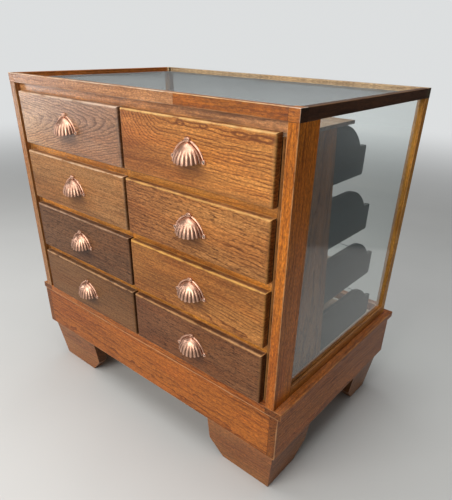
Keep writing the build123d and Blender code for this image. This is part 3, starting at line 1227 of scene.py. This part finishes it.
@dataclass
class CaseFrame(Joinery):
    """Posts, top rails and base rails that hold the panes."""

    arris: float = 1.4 * MM
    seed_step: float = 1.37
    seam: float = 0.1 * MM
    pane_play: float = 0.3 * MM
    joint_x: float = 170.0 * MM
    unworn: float = 50.0 * MM
    least_taper: float = 0.014
    taper_step: float = 0.003
    tapers: int = 3

    def build(self) -> None:
        """Builds the frame's boards."""
        self.posts()
        # The rail's left length takes the painted-sheen copy.
        self.cross_rail("top_rail_front", -1, (SHEEN_RAIL_OAK, FRONT_RAIL_OAK), (self.joint_x,))
        self.cross_rail("top_rail_rear", 1, (REAR_RAIL_OAK,), ())
        self.side_rail("top_rail_left", -1, RAIL_OAK)
        # The right rail takes the painted-shade copy.
        self.side_rail("top_rail_right", 1, SHADED_RIGHT_RAIL_OAK)
        self.base_rails()

    def board(
        self,
        name: str,
        shape: Shape,
        node: str,
        finish: OakFinish,
        along: Along,
        inward: Point = NO_SHIFT,
    ) -> None:
        """Adds one board of the frame, with a ring pattern of its own.

        Args:
            name: The board's name.
            shape: Its shape.
            node: The CAD node it stands for.
            finish: Its finish.
            along: Its grain.
            inward: Points to the sides where other boards meet it.
        """
        taper = self.least_taper + self.taper_step * (len(self.pieces) % self.tapers)
        figure = Figure(across=0.03, depth=0.05, taper=taper, flecks=0.5)
        self.keep(name, shape, Place(CASE_BODY, (node,), Slot.CASE), finish, figure, along, inward)

    def posts(self) -> None:
        """Builds the deep front posts and the square rear posts."""
        # The left front post takes the painted-sheen copy.
        for end, finishes in (("front", (SHEEN_STILE_OAK, STILE_OAK)), ("rear", (REAR_STILE_OAK,) * 2)):
            for side, finish in zip(Side, finishes):
                node = f"{end}_post_{side.value}"
                self.board(f"{end}_stile_{side.value}", block(*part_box(node)), node, finish, Along.Z)

    def section(self, low: Span, high: Span, ledge: float, outward: int) -> list[Span]:
        """Returns a top rail's section with the rebate that the top pane lies in.

        Args:
            low: The section's lowest corner, across the rail and in height.
            high: Its highest corner.
            ledge: Across the rail, where the rebate starts.
            outward: -1 if the rail's outer face is at the low end, or else 1.

        Returns:
            The section's corners.
        """
        outer, inner = (low[0], high[0]) if outward < 0 else (high[0], low[0])
        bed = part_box("glass_top")[0].z
        return [
            (outer, low[1]),
            (inner, low[1]),
            (inner, bed),
            (ledge, bed),
            (ledge, high[1]),
            (outer, high[1]),
        ]

    def cross_rail(
        self,
        node: str,
        outward: int,
        finishes: tuple[OakFinish, ...],
        joints: tuple[float, ...],
    ) -> None:
        """Builds the front or rear top rail, with square blocks over the posts.

        Args:
            node: The CAD node.
            outward: -1 for the front rail and 1 for the rear one.
            finishes: The finish of each length between the blocks.
            joints: Where one length meets the next.
        """
        low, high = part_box(node)
        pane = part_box("glass_top")[0 if outward < 0 else 1].y
        ledge = pane + outward * self.pane_play
        section = self.section((low.y, low.z), (high.y, high.z), ledge, outward)
        corner = high.y - low.y
        stops = [low.x + corner, *joints, high.x - corner]
        for i, finish in enumerate(finishes):
            span = (stops[i] + self.seam, stops[i + 1] - self.seam)
            self.board(f"{node}_{i + 1}", moulding(section, Along.X, span), node, finish, Along.X)
        # The front rail's left block takes the painted-sheen copy.
        ends = (SHEEN_CORNER_OAK, CORNER_OAK) if outward < 0 else (finishes[0], finishes[-1])
        starts = (low.x, high.x - corner)
        for side, start, toward, finish in zip(Side, starts, (1, -1), ends):
            shape = block(Vector((start, low.y, low.z)), Vector((start + corner, high.y, high.z)))
            inward = (toward * self.unworn, -outward * self.unworn, -self.unworn)
            self.board(f"{node}_corner_{side.value}", shape, node, finish, Along.X, inward)

    def side_rail(self, node: str, outward: int, finish: OakFinish) -> None:
        """Builds a side rail of the top frame.

        Args:
            node: The CAD node.
            outward: -1 for the left rail and 1 for the right one.
            finish: Its finish.
        """
        low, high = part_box(node)
        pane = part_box("glass_top")[0 if outward < 0 else 1].x
        ledge = pane + outward * self.pane_play
        section = self.section((low.x, low.z), (high.x, high.z), ledge, outward)
        shape = moulding(section, Along.Y, (low.y + self.seam, high.y - self.seam))
        self.board(node + "_oak", shape, node, finish, Along.Y)

    def base_rails(self) -> None:
        """Builds the low rails under the side and rear panes."""
        for i, shape in enumerate(solids_of("base_rails")):
            along = longer_way(shape)
            at_right = along is Along.Y and shape_box(shape)[0].x > 0
            finish = BASE_RAIL_OAK if at_right else RAIL_OAK
            self.board(f"base_rail_{i + 1}", shape, "base_rails", finish, along)


@dataclass
class Carcase(Joinery):
    """Gables, partition, rails and runners that the drawers live in."""

    arris: float = 0.8 * MM
    steps: int = 2
    seed_step: float = 2.71
    first_seed: int = 3

    def build(self) -> None:
        """Builds the inner woodwork."""
        upright = Figure(across=0.02, depth=0.1, taper=0.02, spacing=0.011, wander=0.014, contrast=0.8)
        plain = Figure(across=0.1, depth=0.05, taper=0.02)
        for node, name, slot, finish, figure, along in (
            ("gable_left", "gable_left_board", Slot.CASE, GABLE_WOOD, upright, Along.Z),
            ("gable_right", "gable_right_board", Slot.CASE, GABLE_WOOD, upright, Along.Z),
            ("centre_partition", "centre_partition_board", Slot.CASE, INNER_RAIL_OAK, upright, Along.Z),
            ("top_board", "dust_board", Slot.PALE, DUST_BOARD_WOOD, plain, Along.X),
            ("header_strip", "header_strip_oak", Slot.CASE, HEADER_OAK, plain, Along.X),
            ("drawer_rails", "drawer_rail", Slot.INNER_RAILS, INNER_RAIL_OAK, plain, Along.X),
            ("runners", "runner", Slot.PALE, RUNNER_WOOD, plain, Along.Y),
            ("floor_board", "case_floor", Slot.PALE, PALE_WOOD, plain, Along.X),
        ):
            shapes = solids_of(node)
            for i, shape in enumerate(shapes):
                label = name if len(shapes) == 1 else f"{name}_{i + 1}"
                self.keep(label, shape, Place(CASE_BODY, (node,), slot), finish, figure, along)


@dataclass
class Base(Joinery):
    """Nosed cap, plinth boards and bracket feet."""

    seed_step: float = 1.93
    first_seed: int = 5
    unworn: float = 50.0 * MM

    def build(self) -> None:
        """Builds the base from the floor of the case down."""
        lengthwise = Figure(
            across=-0.06,
            depth=0.05,
            taper=0.018,
            spacing=0.0095,
            wander=0.016,
            contrast=0.75,
        )
        self.boards("cap_frame", "cap", CAP_OAK, lengthwise)
        self.boards("plinth", "plinth_board", PLINTH_OAK, lengthwise)
        foot = Figure(across=0.05, depth=0.04, taper=0.08, spacing=0.01, wander=0.014)
        for end in ("front", "rear"):
            for side in Side:
                corner = f"{end}_{side.value}"
                self.boards("foot_" + corner, "bracket_" + corner, FOOT_OAK, foot)

    def boards(self, node: str, name: str, finish: OakFinish, figure: Figure) -> None:
        """Builds the boards of one node, each with the grain along its length.

        Args:
            node: The CAD node.
            name: The boards' name.
            finish: Their finish.
            figure: Their ring pattern.
        """
        place = Place(CASE_BODY, (node,), Slot.BASE)
        for i, shape in enumerate(solids_of(node)):
            along = longer_way(shape)
            at_side = along is Along.Y
            to_middle = -math.copysign(self.unworn, shape_box(shape)[0].x)
            inward = (to_middle, 0.0, 0.0) if at_side else NO_SHIFT
            dressing = replace(finish, worn_ends=at_side)
            self.keep(f"{name}_{i + 1}", shape, place, dressing, figure, along, inward)


@dataclass
class Glazing:
    """Panes of the case."""

    places: tuple[str, ...] = ("left", "right", "rear", "top")

    @property
    def panes(self) -> list[bpy.types.Object]:
        """The panes' CAD objects."""
        return [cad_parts[f"glass_{place}"] for place in self.places]

    def build(self) -> None:
        """Dresses the panes."""
        for pane in self.panes:
            CASE_GLASS.dress(pane)


# ---------------------------------------------------------------- the drawers

SIDE_SEED = {Side.LEFT: 0.7, Side.RIGHT: 5.1}


@dataclass
class ShellPull:
    """Cast shell pull: a fluted cup with a beaded rim, a boss, two lugs and their screws."""

    half_width: float = 38.0 * MM
    height: float = 42.0 * MM
    projection: float = 26.0 * MM
    pinch: float = 1.25
    wall: float = 2.0 * MM
    flutes: int = 10
    flute_depth: float = 2.4 * MM
    flute_start: float = 0.68
    flute_growth: float = 0.5
    flute_middle: float = 0.75
    flute_fade: float = 6.0
    scallop: float = 0.8
    lip_rise: float = 7.0 * MM
    crown_hole: float = 0.1
    bead: float = 2.6 * MM
    bead_steps: int = 72
    bead_sides: int = 10
    bead_under: float = 2.4
    # Painted shadow: how dark the underside of the bead is made.
    bead_under_shadow: float = 0.8
    boss_radius: float = 5.2 * MM
    boss_height: float = 5.0 * MM
    boss_level: float = 46.5 * MM
    boss_stretch: float = 1.45
    boss_face: float = 0.8
    boss_crown: float = 0.5 * MM
    hole_radius: float = 1.5 * MM
    hole_reach: float = 4.4 * MM
    hole_depth: float = 1.6 * MM
    hole_rim: float = 1.6
    hole_fall: float = 1.5
    hole_grime: float = 1.6
    lug_radius: float = 5.2 * MM
    lug_reach: float = 42.3 * MM
    lug_level: float = 9.8 * MM
    lug_height: float = 3.2 * MM
    recess_depth: float = 1.3 * MM
    recess_play: float = 0.3 * MM
    screw_radius: float = 2.7 * MM
    screw_height: float = 1.5 * MM
    screw_crown: float = 0.7 * MM
    screw_grime: float = 0.25
    screw_leans: Span = (-15.0, 35.0)
    slot_width: float = 0.6 * MM
    slot_depth: float = 0.8 * MM
    around: int = 132
    down: int = 30
    round_steps: int = 36

    def ridge(self, turn: float) -> float:
        """Returns 1 on a flute's crest and 0 between two flutes.

        Args:
            turn: Angle round the mouth from the middle.

        Returns:
            The height of the flute's section.
        """
        place = (turn / math.pi + 0.5) * self.flutes
        across = 2 * (place - math.floor(place)) - 1
        return (0.5 + 0.5 * math.cos(math.pi * across)) ** 0.5

    def flute_share(self, fall: float) -> float:
        """Returns how far the flutes have risen at an angle down from the boss."""
        share = min(1.0, max(0.0, (fall - self.flute_start) / self.flute_growth))
        return share * share * (3 - 2 * share)

    def shell_point(self, turn: float, fall: float, inset: float) -> tuple[Vector, float]:
        """Returns a point of the cup and how hollow it is there.

        Args:
            turn: Angle round the mouth from the middle.
            fall: Angle down from the boss.
            inset: Depth below the outer skin.

        Returns:
            The point from the middle of the mouth, and the hollow from 0 to 1.
        """
        a, b, c = self.half_width, self.projection, self.height
        lip = self.lip_rise * math.sin(turn) ** 2
        x = a * math.sin(turn) * math.sin(fall) ** self.pinch
        y = -b * math.cos(turn) * math.sin(fall)
        z = lip + (c - lip) * max(0.0, math.cos(fall)) ** self.pinch
        out = Vector((x / a**2, y / b**2, (z - lip) / c**2)).normalized()
        ridge = self.ridge(turn)
        share = self.flute_share(fall) * min(1.0, (math.pi / 2 - abs(turn)) * self.flute_fade)
        lift = self.flute_depth * share * (ridge - self.flute_middle)
        point = Vector((x, y, z)) + out * (lift - inset)
        point.z += self.flute_depth * self.scallop * share**3 * (1 - ridge)
        point.y = min(point.y, 0.0)
        return point, share * (1 - ridge)

    def cup(self, shape: Shape, hollow: bmesh.types.BMLayerItem) -> None:
        """Adds the fluted cup, with its inner skin and its lip.

        Args:
            shape: The shape it joins.
            hollow: The layer that holds how hollow each point is.
        """
        skins = []
        for inset in (0.0, self.wall):
            rows = []
            for i in range(self.down + 1):
                fall = self.crown_hole + (math.pi / 2 - self.crown_hole) * i / self.down
                row = []
                for j in range(self.around + 1):
                    turn = math.pi * (j / self.around - 0.5)
                    point, depth = self.shell_point(turn, fall, inset)
                    vert = shape.verts.new(point)
                    vert[hollow] = 1.0 if inset else depth
                    row.append(vert)
                rows.append(row)
            skins.append(rows)
        outer, inner = skins
        for i in range(self.down):
            for j in range(self.around):
                shape.faces.new((outer[i][j], outer[i][j + 1], outer[i + 1][j + 1], outer[i + 1][j]))
                shape.faces.new((inner[i][j], inner[i + 1][j], inner[i + 1][j + 1], inner[i][j + 1]))
        for j in range(self.around):
            shape.faces.new((outer[-1][j], outer[-1][j + 1], inner[-1][j + 1], inner[-1][j]))

    def rim(self, shape: Shape, hollow: bmesh.types.BMLayerItem) -> None:
        """Adds the bead that runs from lug to lug over the top.

        Args:
            shape: The shape it joins.
            hollow: The layer that holds how hollow each point is.
        """
        reach = self.half_width + self.bead
        rise = self.height + self.bead - self.lug_level
        rings = []
        for i in range(self.bead_steps + 1):
            turn = math.pi * (i / self.bead_steps - 0.5)
            across = math.copysign(abs(math.sin(turn)) ** self.pinch, turn)
            level = self.lug_level + rise * abs(math.cos(turn)) ** self.pinch
            middle = Vector((reach * across, 0, level))
            out = Vector((math.sin(turn) / reach, 0, math.cos(turn) / rise)).normalized()
            ring = []
            for k in range(self.bead_sides + 1):
                roll = math.pi * k / self.bead_sides
                point = middle + out * (self.bead * math.cos(roll))
                point.y -= self.bead * math.sin(roll)
                vert = shape.verts.new(point)
                # Painted shadow: the bead's underside is marked hollow, so it renders dark.
                vert[hollow] = self.bead_under_shadow if roll > self.bead_under else 0.0
                ring.append(vert)
            rings.append(ring)
        for first, second in zip(rings, rings[1:]):
            for k in range(self.bead_sides):
                shape.faces.new((first[k], first[k + 1], second[k + 1], second[k]))

    def boss(self, shape: Shape, hollow: bmesh.types.BMLayerItem) -> None:
        """Adds the round boss with its two small holes.

        Args:
            shape: The shape it joins.
            hollow: The layer that holds how hollow each point is.
        """
        r, h = self.boss_radius, self.boss_height
        face = [(r * self.boss_face * i / 10, h - self.boss_crown * (i / 10) ** 2) for i in range(11)]
        edge = [(r * 0.94, h * 0.86), (r, h * 0.66), (r, 0.0)]
        centre = Vector((0, 0, self.boss_level))
        for vert in turned(shape, face + edge, centre, self.round_steps):
            vert.co.x *= self.boss_stretch
            for side in (-1, 1):
                hole = centre + Vector((side * self.hole_reach, 0, 0.0))
                away = math.hypot(vert.co.x - hole.x, vert.co.z - hole.z) / self.hole_radius
                if away < self.hole_rim and -vert.co.y > h * 0.9:
                    depth = math.exp(-(away**2) * self.hole_fall)
                    vert.co.y += self.hole_depth * depth
                    vert[hollow] = min(1.0, self.hole_grime * depth)

    def lugs(self, shape: Shape, hollow: bmesh.types.BMLayerItem) -> None:
        """Adds the two round lugs, each with a raised ring round its screw.

        Args:
            shape: The shape it joins.
            hollow: The layer that holds how hollow each point is.
        """
        r, h = self.lug_radius, self.lug_height
        recess, foot = self.screw_radius + self.recess_play, h - self.recess_depth
        outline = [
            (0.0, foot),
            (recess - 0.2 * MM, foot),
            (recess, h - 0.4 * MM),
            (recess + 0.5 * MM, h),
            (r - 0.7 * MM, h),
            (r - 0.15 * MM, h - 0.5 * MM),
            (r, h - 1.2 * MM),
            (r, 0.0),
        ]
        for side in (-1, 1):
            middle = Vector((side * self.lug_reach, 0, self.lug_level))
            for vert in turned(shape, outline, middle):
                if math.hypot(vert.co.x - middle.x, vert.co.z - middle.z) < recess * 0.98:
                    vert[hollow] = 1.0

    def casting(self) -> Shape:
        """Returns the whole casting, with the middle of its mouth at the origin."""
        shape = bmesh.new()
        hollow = shape.verts.layers.float.new(HOLLOW)
        for part in (self.cup, self.rim, self.boss, self.lugs):
            part(shape, hollow)
        bmesh.ops.recalc_face_normals(shape, faces=shape.faces)
        return shape

    def screws(self) -> Shape:
        """Returns the two slotted screw heads."""
        shape = bmesh.new()
        hollow = shape.verts.layers.float.new(HOLLOW)
        r, foot = self.screw_radius, self.lug_height - self.recess_depth
        top = foot + self.screw_height
        dome = [(r * i / 8, top - self.screw_crown * (i / 8) ** 2) for i in range(9)] + [(r, foot)]
        for side, degrees in zip((-1, 1), self.screw_leans):
            centre = Vector((side * self.lug_reach, 0, self.lug_level))
            lean = math.radians(degrees)
            across = Vector((math.cos(lean), 0, math.sin(lean)))
            for vert in turned(shape, dome, centre, self.round_steps):
                in_slot = abs((vert.co - centre).dot(across)) < self.slot_width
                if in_slot:
                    vert.co.y += self.slot_depth
                vert[hollow] = 1.0 if in_slot else self.screw_grime
        bmesh.ops.recalc_face_normals(shape, faces=shape.faces)
        return shape

    def mount(self, name: str, mouth: Vector, body: str) -> list[bpy.types.Object]:
        """Fixes a pull to a drawer front.

        Args:
            name: The CAD node that it stands for.
            mouth: The middle of its mouth, on the front.
            body: The drawer's body.

        Returns:
            The casting and its screws.
        """
        place = Place(body, (name,), Slot.COPPER)
        pieces = []
        for label, shape, finish in (
            (name + "_shell", self.casting(), COPPER),
            (name + "_screws", self.screws(), SCREW_METAL),
        ):
            bmesh.ops.translate(shape, vec=mouth, verts=shape.verts)
            piece = add_piece(label, shape, place)
            finish.dress(piece)
            pieces.append(piece)
        return pieces


@dataclass
class Drawer:
    """One drawer: oak front, stained box, glass end and shell pull."""

    row: int
    side: Side
    finish: OakFinish
    figure: Figure
    rounding: float = 5.0 * MM
    rounding_steps: int = 5
    rear_rounding: float = 0.1
    box_arris: float = 0.8 * MM
    thickest_side: float = 100.0 * MM
    seed_step: float = 3.3
    pieces: list[bpy.types.Object] = field(default_factory=list)

    @property
    def body(self) -> str:
        """Name of this drawer's body."""
        return f"drawer_{self.row}_{self.side.value}"

    @property
    def pane(self) -> bpy.types.Object:
        """CAD object of this drawer's glass end."""
        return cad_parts[self.node("end")]

    def node(self, part: str) -> str:
        """Returns the name of the CAD node of a part of this drawer."""
        return f"drawer_{self.row}_{part}_{self.side.value}"

    def build(self) -> None:
        """Builds the drawer's pieces."""
        seed = self.seed_step * self.row + SIDE_SEED[self.side]
        self.front(seed)
        self.box(seed)
        self.glass_end()
        self.pull()

    def front(self, seed: float) -> None:
        """Builds the drawer front.

        Args:
            seed: Tells its oak from that of the other drawers.
        """
        node = self.node("front")
        low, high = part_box(node)

        def forward(middle: Vector, run: Vector) -> float:
            """Returns the share that rounds the front edges in full."""
            return 1.0 if middle.y < low.y + MM else self.rear_rounding

        piece = add_piece(node + "_oak", block(low, high), Place(self.body, (node,), Slot.FRONTS))
        round_arrises(piece, self.rounding, self.rounding_steps, forward)
        self.finish.dress(piece, Along.X, self.figure, seed)
        self.pieces.append(piece)

    def box(self, seed: float) -> None:
        """Builds the box's two sides and its bottom.

        Args:
            seed: Tells its wood from that of the other drawers.
        """
        node = self.node("box")
        figure = Figure(across=0.05, depth=0.06, taper=0.02)
        for i, shape in enumerate(solids_of(node)):
            low, high = shape_box(shape)
            is_bottom = high.x - low.x > self.thickest_side
            label = f"{self.node('bottom' if is_bottom else 'side')}_{i + 1}"
            piece = add_piece(label, shape, Place(self.body, (node,), Slot.BOXES))
            round_arrises(piece, self.box_arris, 2, all_edges)
            finish = BOTTOM_WOOD if is_bottom else DARK_BOX_WOOD_TEAL_REFLECTION
            finish.dress(piece, Along.Y, figure, seed + i)
            self.pieces.append(piece)

    def glass_end(self) -> None:
        """Dresses the glass end."""
        END_GLASS.dress(self.pane)
        self.pieces.append(self.pane)

    def pull(self) -> None:
        """Fixes the pull to the front."""
        low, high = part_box(self.node("pull"))
        face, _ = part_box(self.node("front"))
        mouth = Vector(((low.x + high.x) / 2, face.y, low.z))
        self.pieces += ShellPull().mount(self.node("pull"), mouth, self.body)


def front_oak(
    tone: Colour,
    worn: Colour,
    gloss: float = 0.42,
    sheen: float = 0.22,
    left: float = 1.0,
) -> OakFinish:
    """Returns the finish of a drawer front, worn along its rounded upper edge and painted lighter there as a
    highlight.

    Args:
        tone: The oak's tone.
        worn: The tone of the worn edge, which also stands in for its highlight.
        gloss: The wax's roughness.
        sheen: How much the wax reflects.
        left: How much lighter or darker the left end is painted: above 1 a painted sheen, below 1 painted
            shade.

    Returns:
        The finish.
    """
    return OakFinish(
        # The left end gets painted sheen above 1 and painted shade below 1.
        end_ramp=(0.08, -0.22, left),
        tone=tone,
        gloss=gloss,
        coat=0.02,
        specular=sheen,
        wear=5.0 * MM,
        worn=worn,
        worn_lit_share=0.7,
        worn_ends=True,
        upward=0.85,
        ends=0.65,
        grime_shade=0.45,
        smudge_shadow=0.62,
    )


def drawer_set() -> list[Drawer]:
    """Returns the eight drawers, each with its own oak."""
    arches = Figure(
        along=-0.03,
        across=0.012,
        depth=0.008,
        taper=0.17,
        tilt=0.08,
        spacing=0.0057,
        wander=0.007,
        contrast=1.15,
    )
    eyes = (
        Knot(-0.022, 0.056, 0.010, 0.0045, 0.003),
        Knot(0.04, 0.057, 0.009, 0.0045, 0.003),
        Knot(0.13, 0.054, 0.016, 0.004, 0.003),
        Knot(0.181, 0.052, 0.024, 0.0055, 0.004),
    )
    fan = Figure(
        along=-0.073,
        across=0.076,
        depth=0.004,
        taper=-0.03,
        close=-0.7,
        fade=(0.18, -0.045, 0.0),
        spacing=0.0066,
        wander=0.007,
        contrast=1.1,
        knots=eyes,
    )
    long_lines = Figure(along=0.1, across=0.09, depth=0.02, taper=0.0, tilt=-0.03, spacing=0.011)
    speckled = Figure(
        across=0.1,
        depth=0.02,
        taper=0.0,
        tilt=-0.09,
        spacing=0.0075,
        contrast=0.9,
        flecks=0.9,
    )
    quiet = Figure(across=0.2, depth=0.1, taper=0.02, spacing=0.008, contrast=0.6, flecks=0.9)
    low_lines = Figure(
        along=0.12,
        across=-0.06,
        depth=0.015,
        taper=0.1,
        fade=(-0.3, 0.0, -0.06),
        spacing=0.0068,
        contrast=1.0,
    )
    rows = (
        (
            # D1L: its greyer tone and lighter left end are a painted sheen.
            (front_oak((0.29, 0.142, 0.068), (0.85, 0.66, 0.5), gloss=0.32, sheen=0.85, left=1.4), arches),
            # left below 1 on D1R, D2R and D4R paints shade on the left end.
            (front_oak((0.52, 0.212, 0.046), (0.85, 0.55, 0.2), sheen=0.3, left=0.66), fan),
        ),
        (
            (front_oak((0.29, 0.135, 0.046), (0.8, 0.55, 0.34)), long_lines),
            (front_oak((0.37, 0.155, 0.042), (0.82, 0.45, 0.13), left=0.72), speckled),
        ),
        (
            (front_oak((0.127, 0.056, 0.023), (0.5, 0.3, 0.18)), quiet),
            (front_oak((0.4, 0.166, 0.04), (0.85, 0.45, 0.1)), low_lines),
        ),
        (
            (front_oak((0.142, 0.061, 0.02), (0.6, 0.33, 0.15)), long_lines),
            (front_oak((0.16, 0.063, 0.022), (0.65, 0.33, 0.12), left=0.85), quiet),
        ),
    )
    return [Drawer(i + 1, side, *oak) for i, row in enumerate(rows) for side, oak in zip(Side, row)]


# ---------------------------------------------------------------- the studio


@dataclass(frozen=True)
class Lamp:
    """A soft rectangular lamp: where it hangs, what it looks at, its size and its light."""

    name: str
    place: Point
    aim: Point
    size: Span
    power: float
    colour: Colour

    def hang(self) -> bpy.types.Object:
        """Hangs the lamp and returns it."""
        data = bpy.data.lights.new(self.name, "AREA")
        data.shape = "RECTANGLE"
        data.size, data.size_y = self.size
        data.energy = self.power
        data.color = self.colour
        lamp = bpy.data.objects.new(self.name, data)
        lamp.location = self.place
        look = Vector(self.aim) - Vector(self.place)
        lamp.rotation_euler = look.to_track_quat("-Z", "Y").to_euler()
        bpy.context.scene.collection.objects.link(lamp)
        return lamp


LAMPS = (
    Lamp("key", (-0.2, -3.2, 2.0), (0.1, -0.2, 0.6), (2.6, 2.2), 92.0, (1.0, 0.98, 0.95)),
    Lamp("window", (-2.4, -1.25, 0.85), (-0.2, -0.2, 0.8), (0.6, 0.8), 9.0, (0.97, 0.98, 1.0)),
    Lamp("overhead", (-0.2, -0.4, 3.4), (-0.1, 0.0, 0.0), (2.8, 2.8), 88.0, (1.0, 1.0, 1.0)),
)


@dataclass
class Studio:
    """Plain pale floor and backdrop, a lamp in front, one at the left, one overhead, and the camera."""

    backdrop: Colour = (0.72, 0.735, 0.74)
    ambient: Colour = (0.95, 0.98, 1.0)
    ambient_strength: float = 0.16
    gloss_strength: float = 0.12
    floor_tone: Colour = (0.6, 0.6, 0.585)
    floor_mottle: Colour = (0.97, 0.97, 0.97)
    floor_gloss: float = 0.55
    floor_reach: float = 30.0
    floor_fade: Span = (1.8, 6.0)
    dim_tone: Colour = (0.05, 0.07, 0.08)
    dim_behind: Span = (-0.2, 0.6)
    dim_beyond: Span = (1.65, 1.75)
    eye: Point = (0.8741, -0.9601, 1.0129)
    yaw: float = 39.244
    pitch: float = 29.124
    roll: float = 1.565
    focal_pixels: float = 463.39
    principal: Span = (230.05, 296.65)
    sensor: float = 36.0
    clip: Span = (0.01, 200.0)
    lamps: list[bpy.types.Object] = field(default_factory=list)

    def build(self) -> None:
        """Builds the surroundings."""
        self.world()
        self.floor()
        self.lamps = [lamp.hang() for lamp in LAMPS]
        self.camera()

    def world(self) -> None:
        """Lights softly all round, less in gloss, and shows the backdrop to the eye and through glass."""
        world = bpy.data.worlds.new("studio")
        bpy.context.scene.world = world
        world.use_nodes = True
        world.node_tree.nodes.clear()
        g = Graph(world.node_tree)
        eye, gloss, glass = g.rays("Camera", "Glossy", "Transmission")
        level = gloss * (self.gloss_strength - self.ambient_strength) + self.ambient_strength
        soft = g.out("ShaderNodeBackground", {"Color": self.ambient, "Strength": level})
        shown = g.out("ShaderNodeBackground", {"Color": self.backdrop, "Strength": 1.0})
        both = g.out("ShaderNodeMixShader", {0: g.math("MAXIMUM", eye, glass), 1: soft, 2: shown})
        g.node("ShaderNodeOutputWorld", {"Surface": both})

    def floor(self) -> None:
        """Lays the floor, which fades into the backdrop far away and is dim in gloss from behind."""
        shape = bmesh.new()
        bmesh.ops.create_grid(shape, x_segments=8, y_segments=8, size=self.floor_reach)
        mesh = bpy.data.meshes.new("studio_floor")
        shape.to_mesh(mesh)
        shape.free()
        floor = bpy.data.objects.new("studio_floor", mesh)
        bpy.context.scene.collection.objects.link(floor)
        g = Surface("studio_floor")
        eye, gloss, glass = g.rays("Camera", "Glossy", "Transmission")
        distance = g.length(g.place)
        mottle = g.ramp(g.noise(g.place, 2.0, detail=3.0), 0.3, 0.7)
        colour = g.mix(mottle, self.floor_tone, scaled(self.floor_tone, self.floor_mottle))
        behind = g.ramp(g.split(g.place)[1], *self.dim_behind)
        beyond = g.ramp(distance, *self.dim_beyond)
        mirrored = g.math("SUBTRACT", gloss, glass, clamp=True)
        colour = g.mix(behind * beyond * mirrored, colour, self.dim_tone)
        g.set({"Base Color": colour, "Roughness": self.floor_gloss})
        seen = g.ramp(distance, *self.floor_fade) * g.math("MAXIMUM", eye, glass)
        g.mix_in(seen, g.out("ShaderNodeEmission", {"Color": self.backdrop, "Strength": 1.0}))
        g.cover(floor)

    def flag(self, panes: list[bpy.types.Object]) -> None:
        """Keeps the lamps' mirror images out of the panes.

        Args:
            panes: Every pane of the cabinet.
        """
        flagged = bpy.data.collections.new("flagged_panes")
        for pane in panes:
            flagged.objects.link(pane)
        for entry in flagged.collection_objects:
            entry.light_linking.link_state = "EXCLUDE"
        for lamp in self.lamps:
            lamp.light_linking.receiver_collection = flagged

    def camera(self) -> None:
        """Sets up the camera and its lens."""
        data = bpy.data.cameras.new("camera")
        camera = bpy.data.objects.new("camera", data)
        bpy.context.scene.collection.objects.link(camera)
        yaw, pitch, roll = (math.radians(v) for v in (self.yaw, self.pitch, self.roll))
        level = math.cos(pitch)
        ahead = Vector((-math.sin(yaw) * level, math.cos(yaw) * level, -math.sin(pitch)))
        right = Vector((math.cos(yaw), math.sin(yaw), 0))
        up = right.cross(ahead)
        tilted_right = right * math.cos(roll) + up * math.sin(roll)
        tilted_up = up * math.cos(roll) - right * math.sin(roll)
        turn = Matrix((tilted_right, tilted_up, -ahead)).transposed()
        camera.matrix_world = Matrix.Translation(self.eye) @ turn.to_4x4()
        long_side = max(VIEW_WIDTH, VIEW_HEIGHT)
        data.sensor_width = self.sensor
        data.lens = self.sensor * self.focal_pixels / long_side
        data.shift_x = (VIEW_WIDTH / 2 - self.principal[0]) / long_side
        data.shift_y = (self.principal[1] - VIEW_HEIGHT / 2) / long_side
        data.clip_start, data.clip_end = self.clip
        bpy.context.scene.camera = camera


def report(part: str, pieces: list[bpy.types.Object]) -> None:
    """Logs what a part of the scene is made of.

    Args:
        part: The part.
        pieces: Its pieces.
    """
    LOG.info("%s: %d", part, len(pieces))
    for piece in pieces:
        LOG.info("  %s", piece.name)


def main() -> None:
    """Builds the cabinet and its surroundings."""
    logging.basicConfig(level=logging.INFO, format="%(name)s: %(message)s")
    bpy.context.scene.view_settings.view_transform = "Standard"
    studio = Studio()
    studio.build()
    report("lamps", studio.lamps)
    for name, part in (("case frame", CaseFrame()), ("carcase", Carcase()), ("base", Base())):
        part.build()
        report(name, part.pieces)
    glazing = Glazing()
    glazing.build()
    report("glazing", glazing.panes)
    drawers = drawer_set()
    for drawer in drawers:
        drawer.build()
        report(drawer.body, drawer.pieces)
    studio.flag(glazing.panes + [drawer.pane for drawer in drawers])


if __name__ == "__main__":
    main()
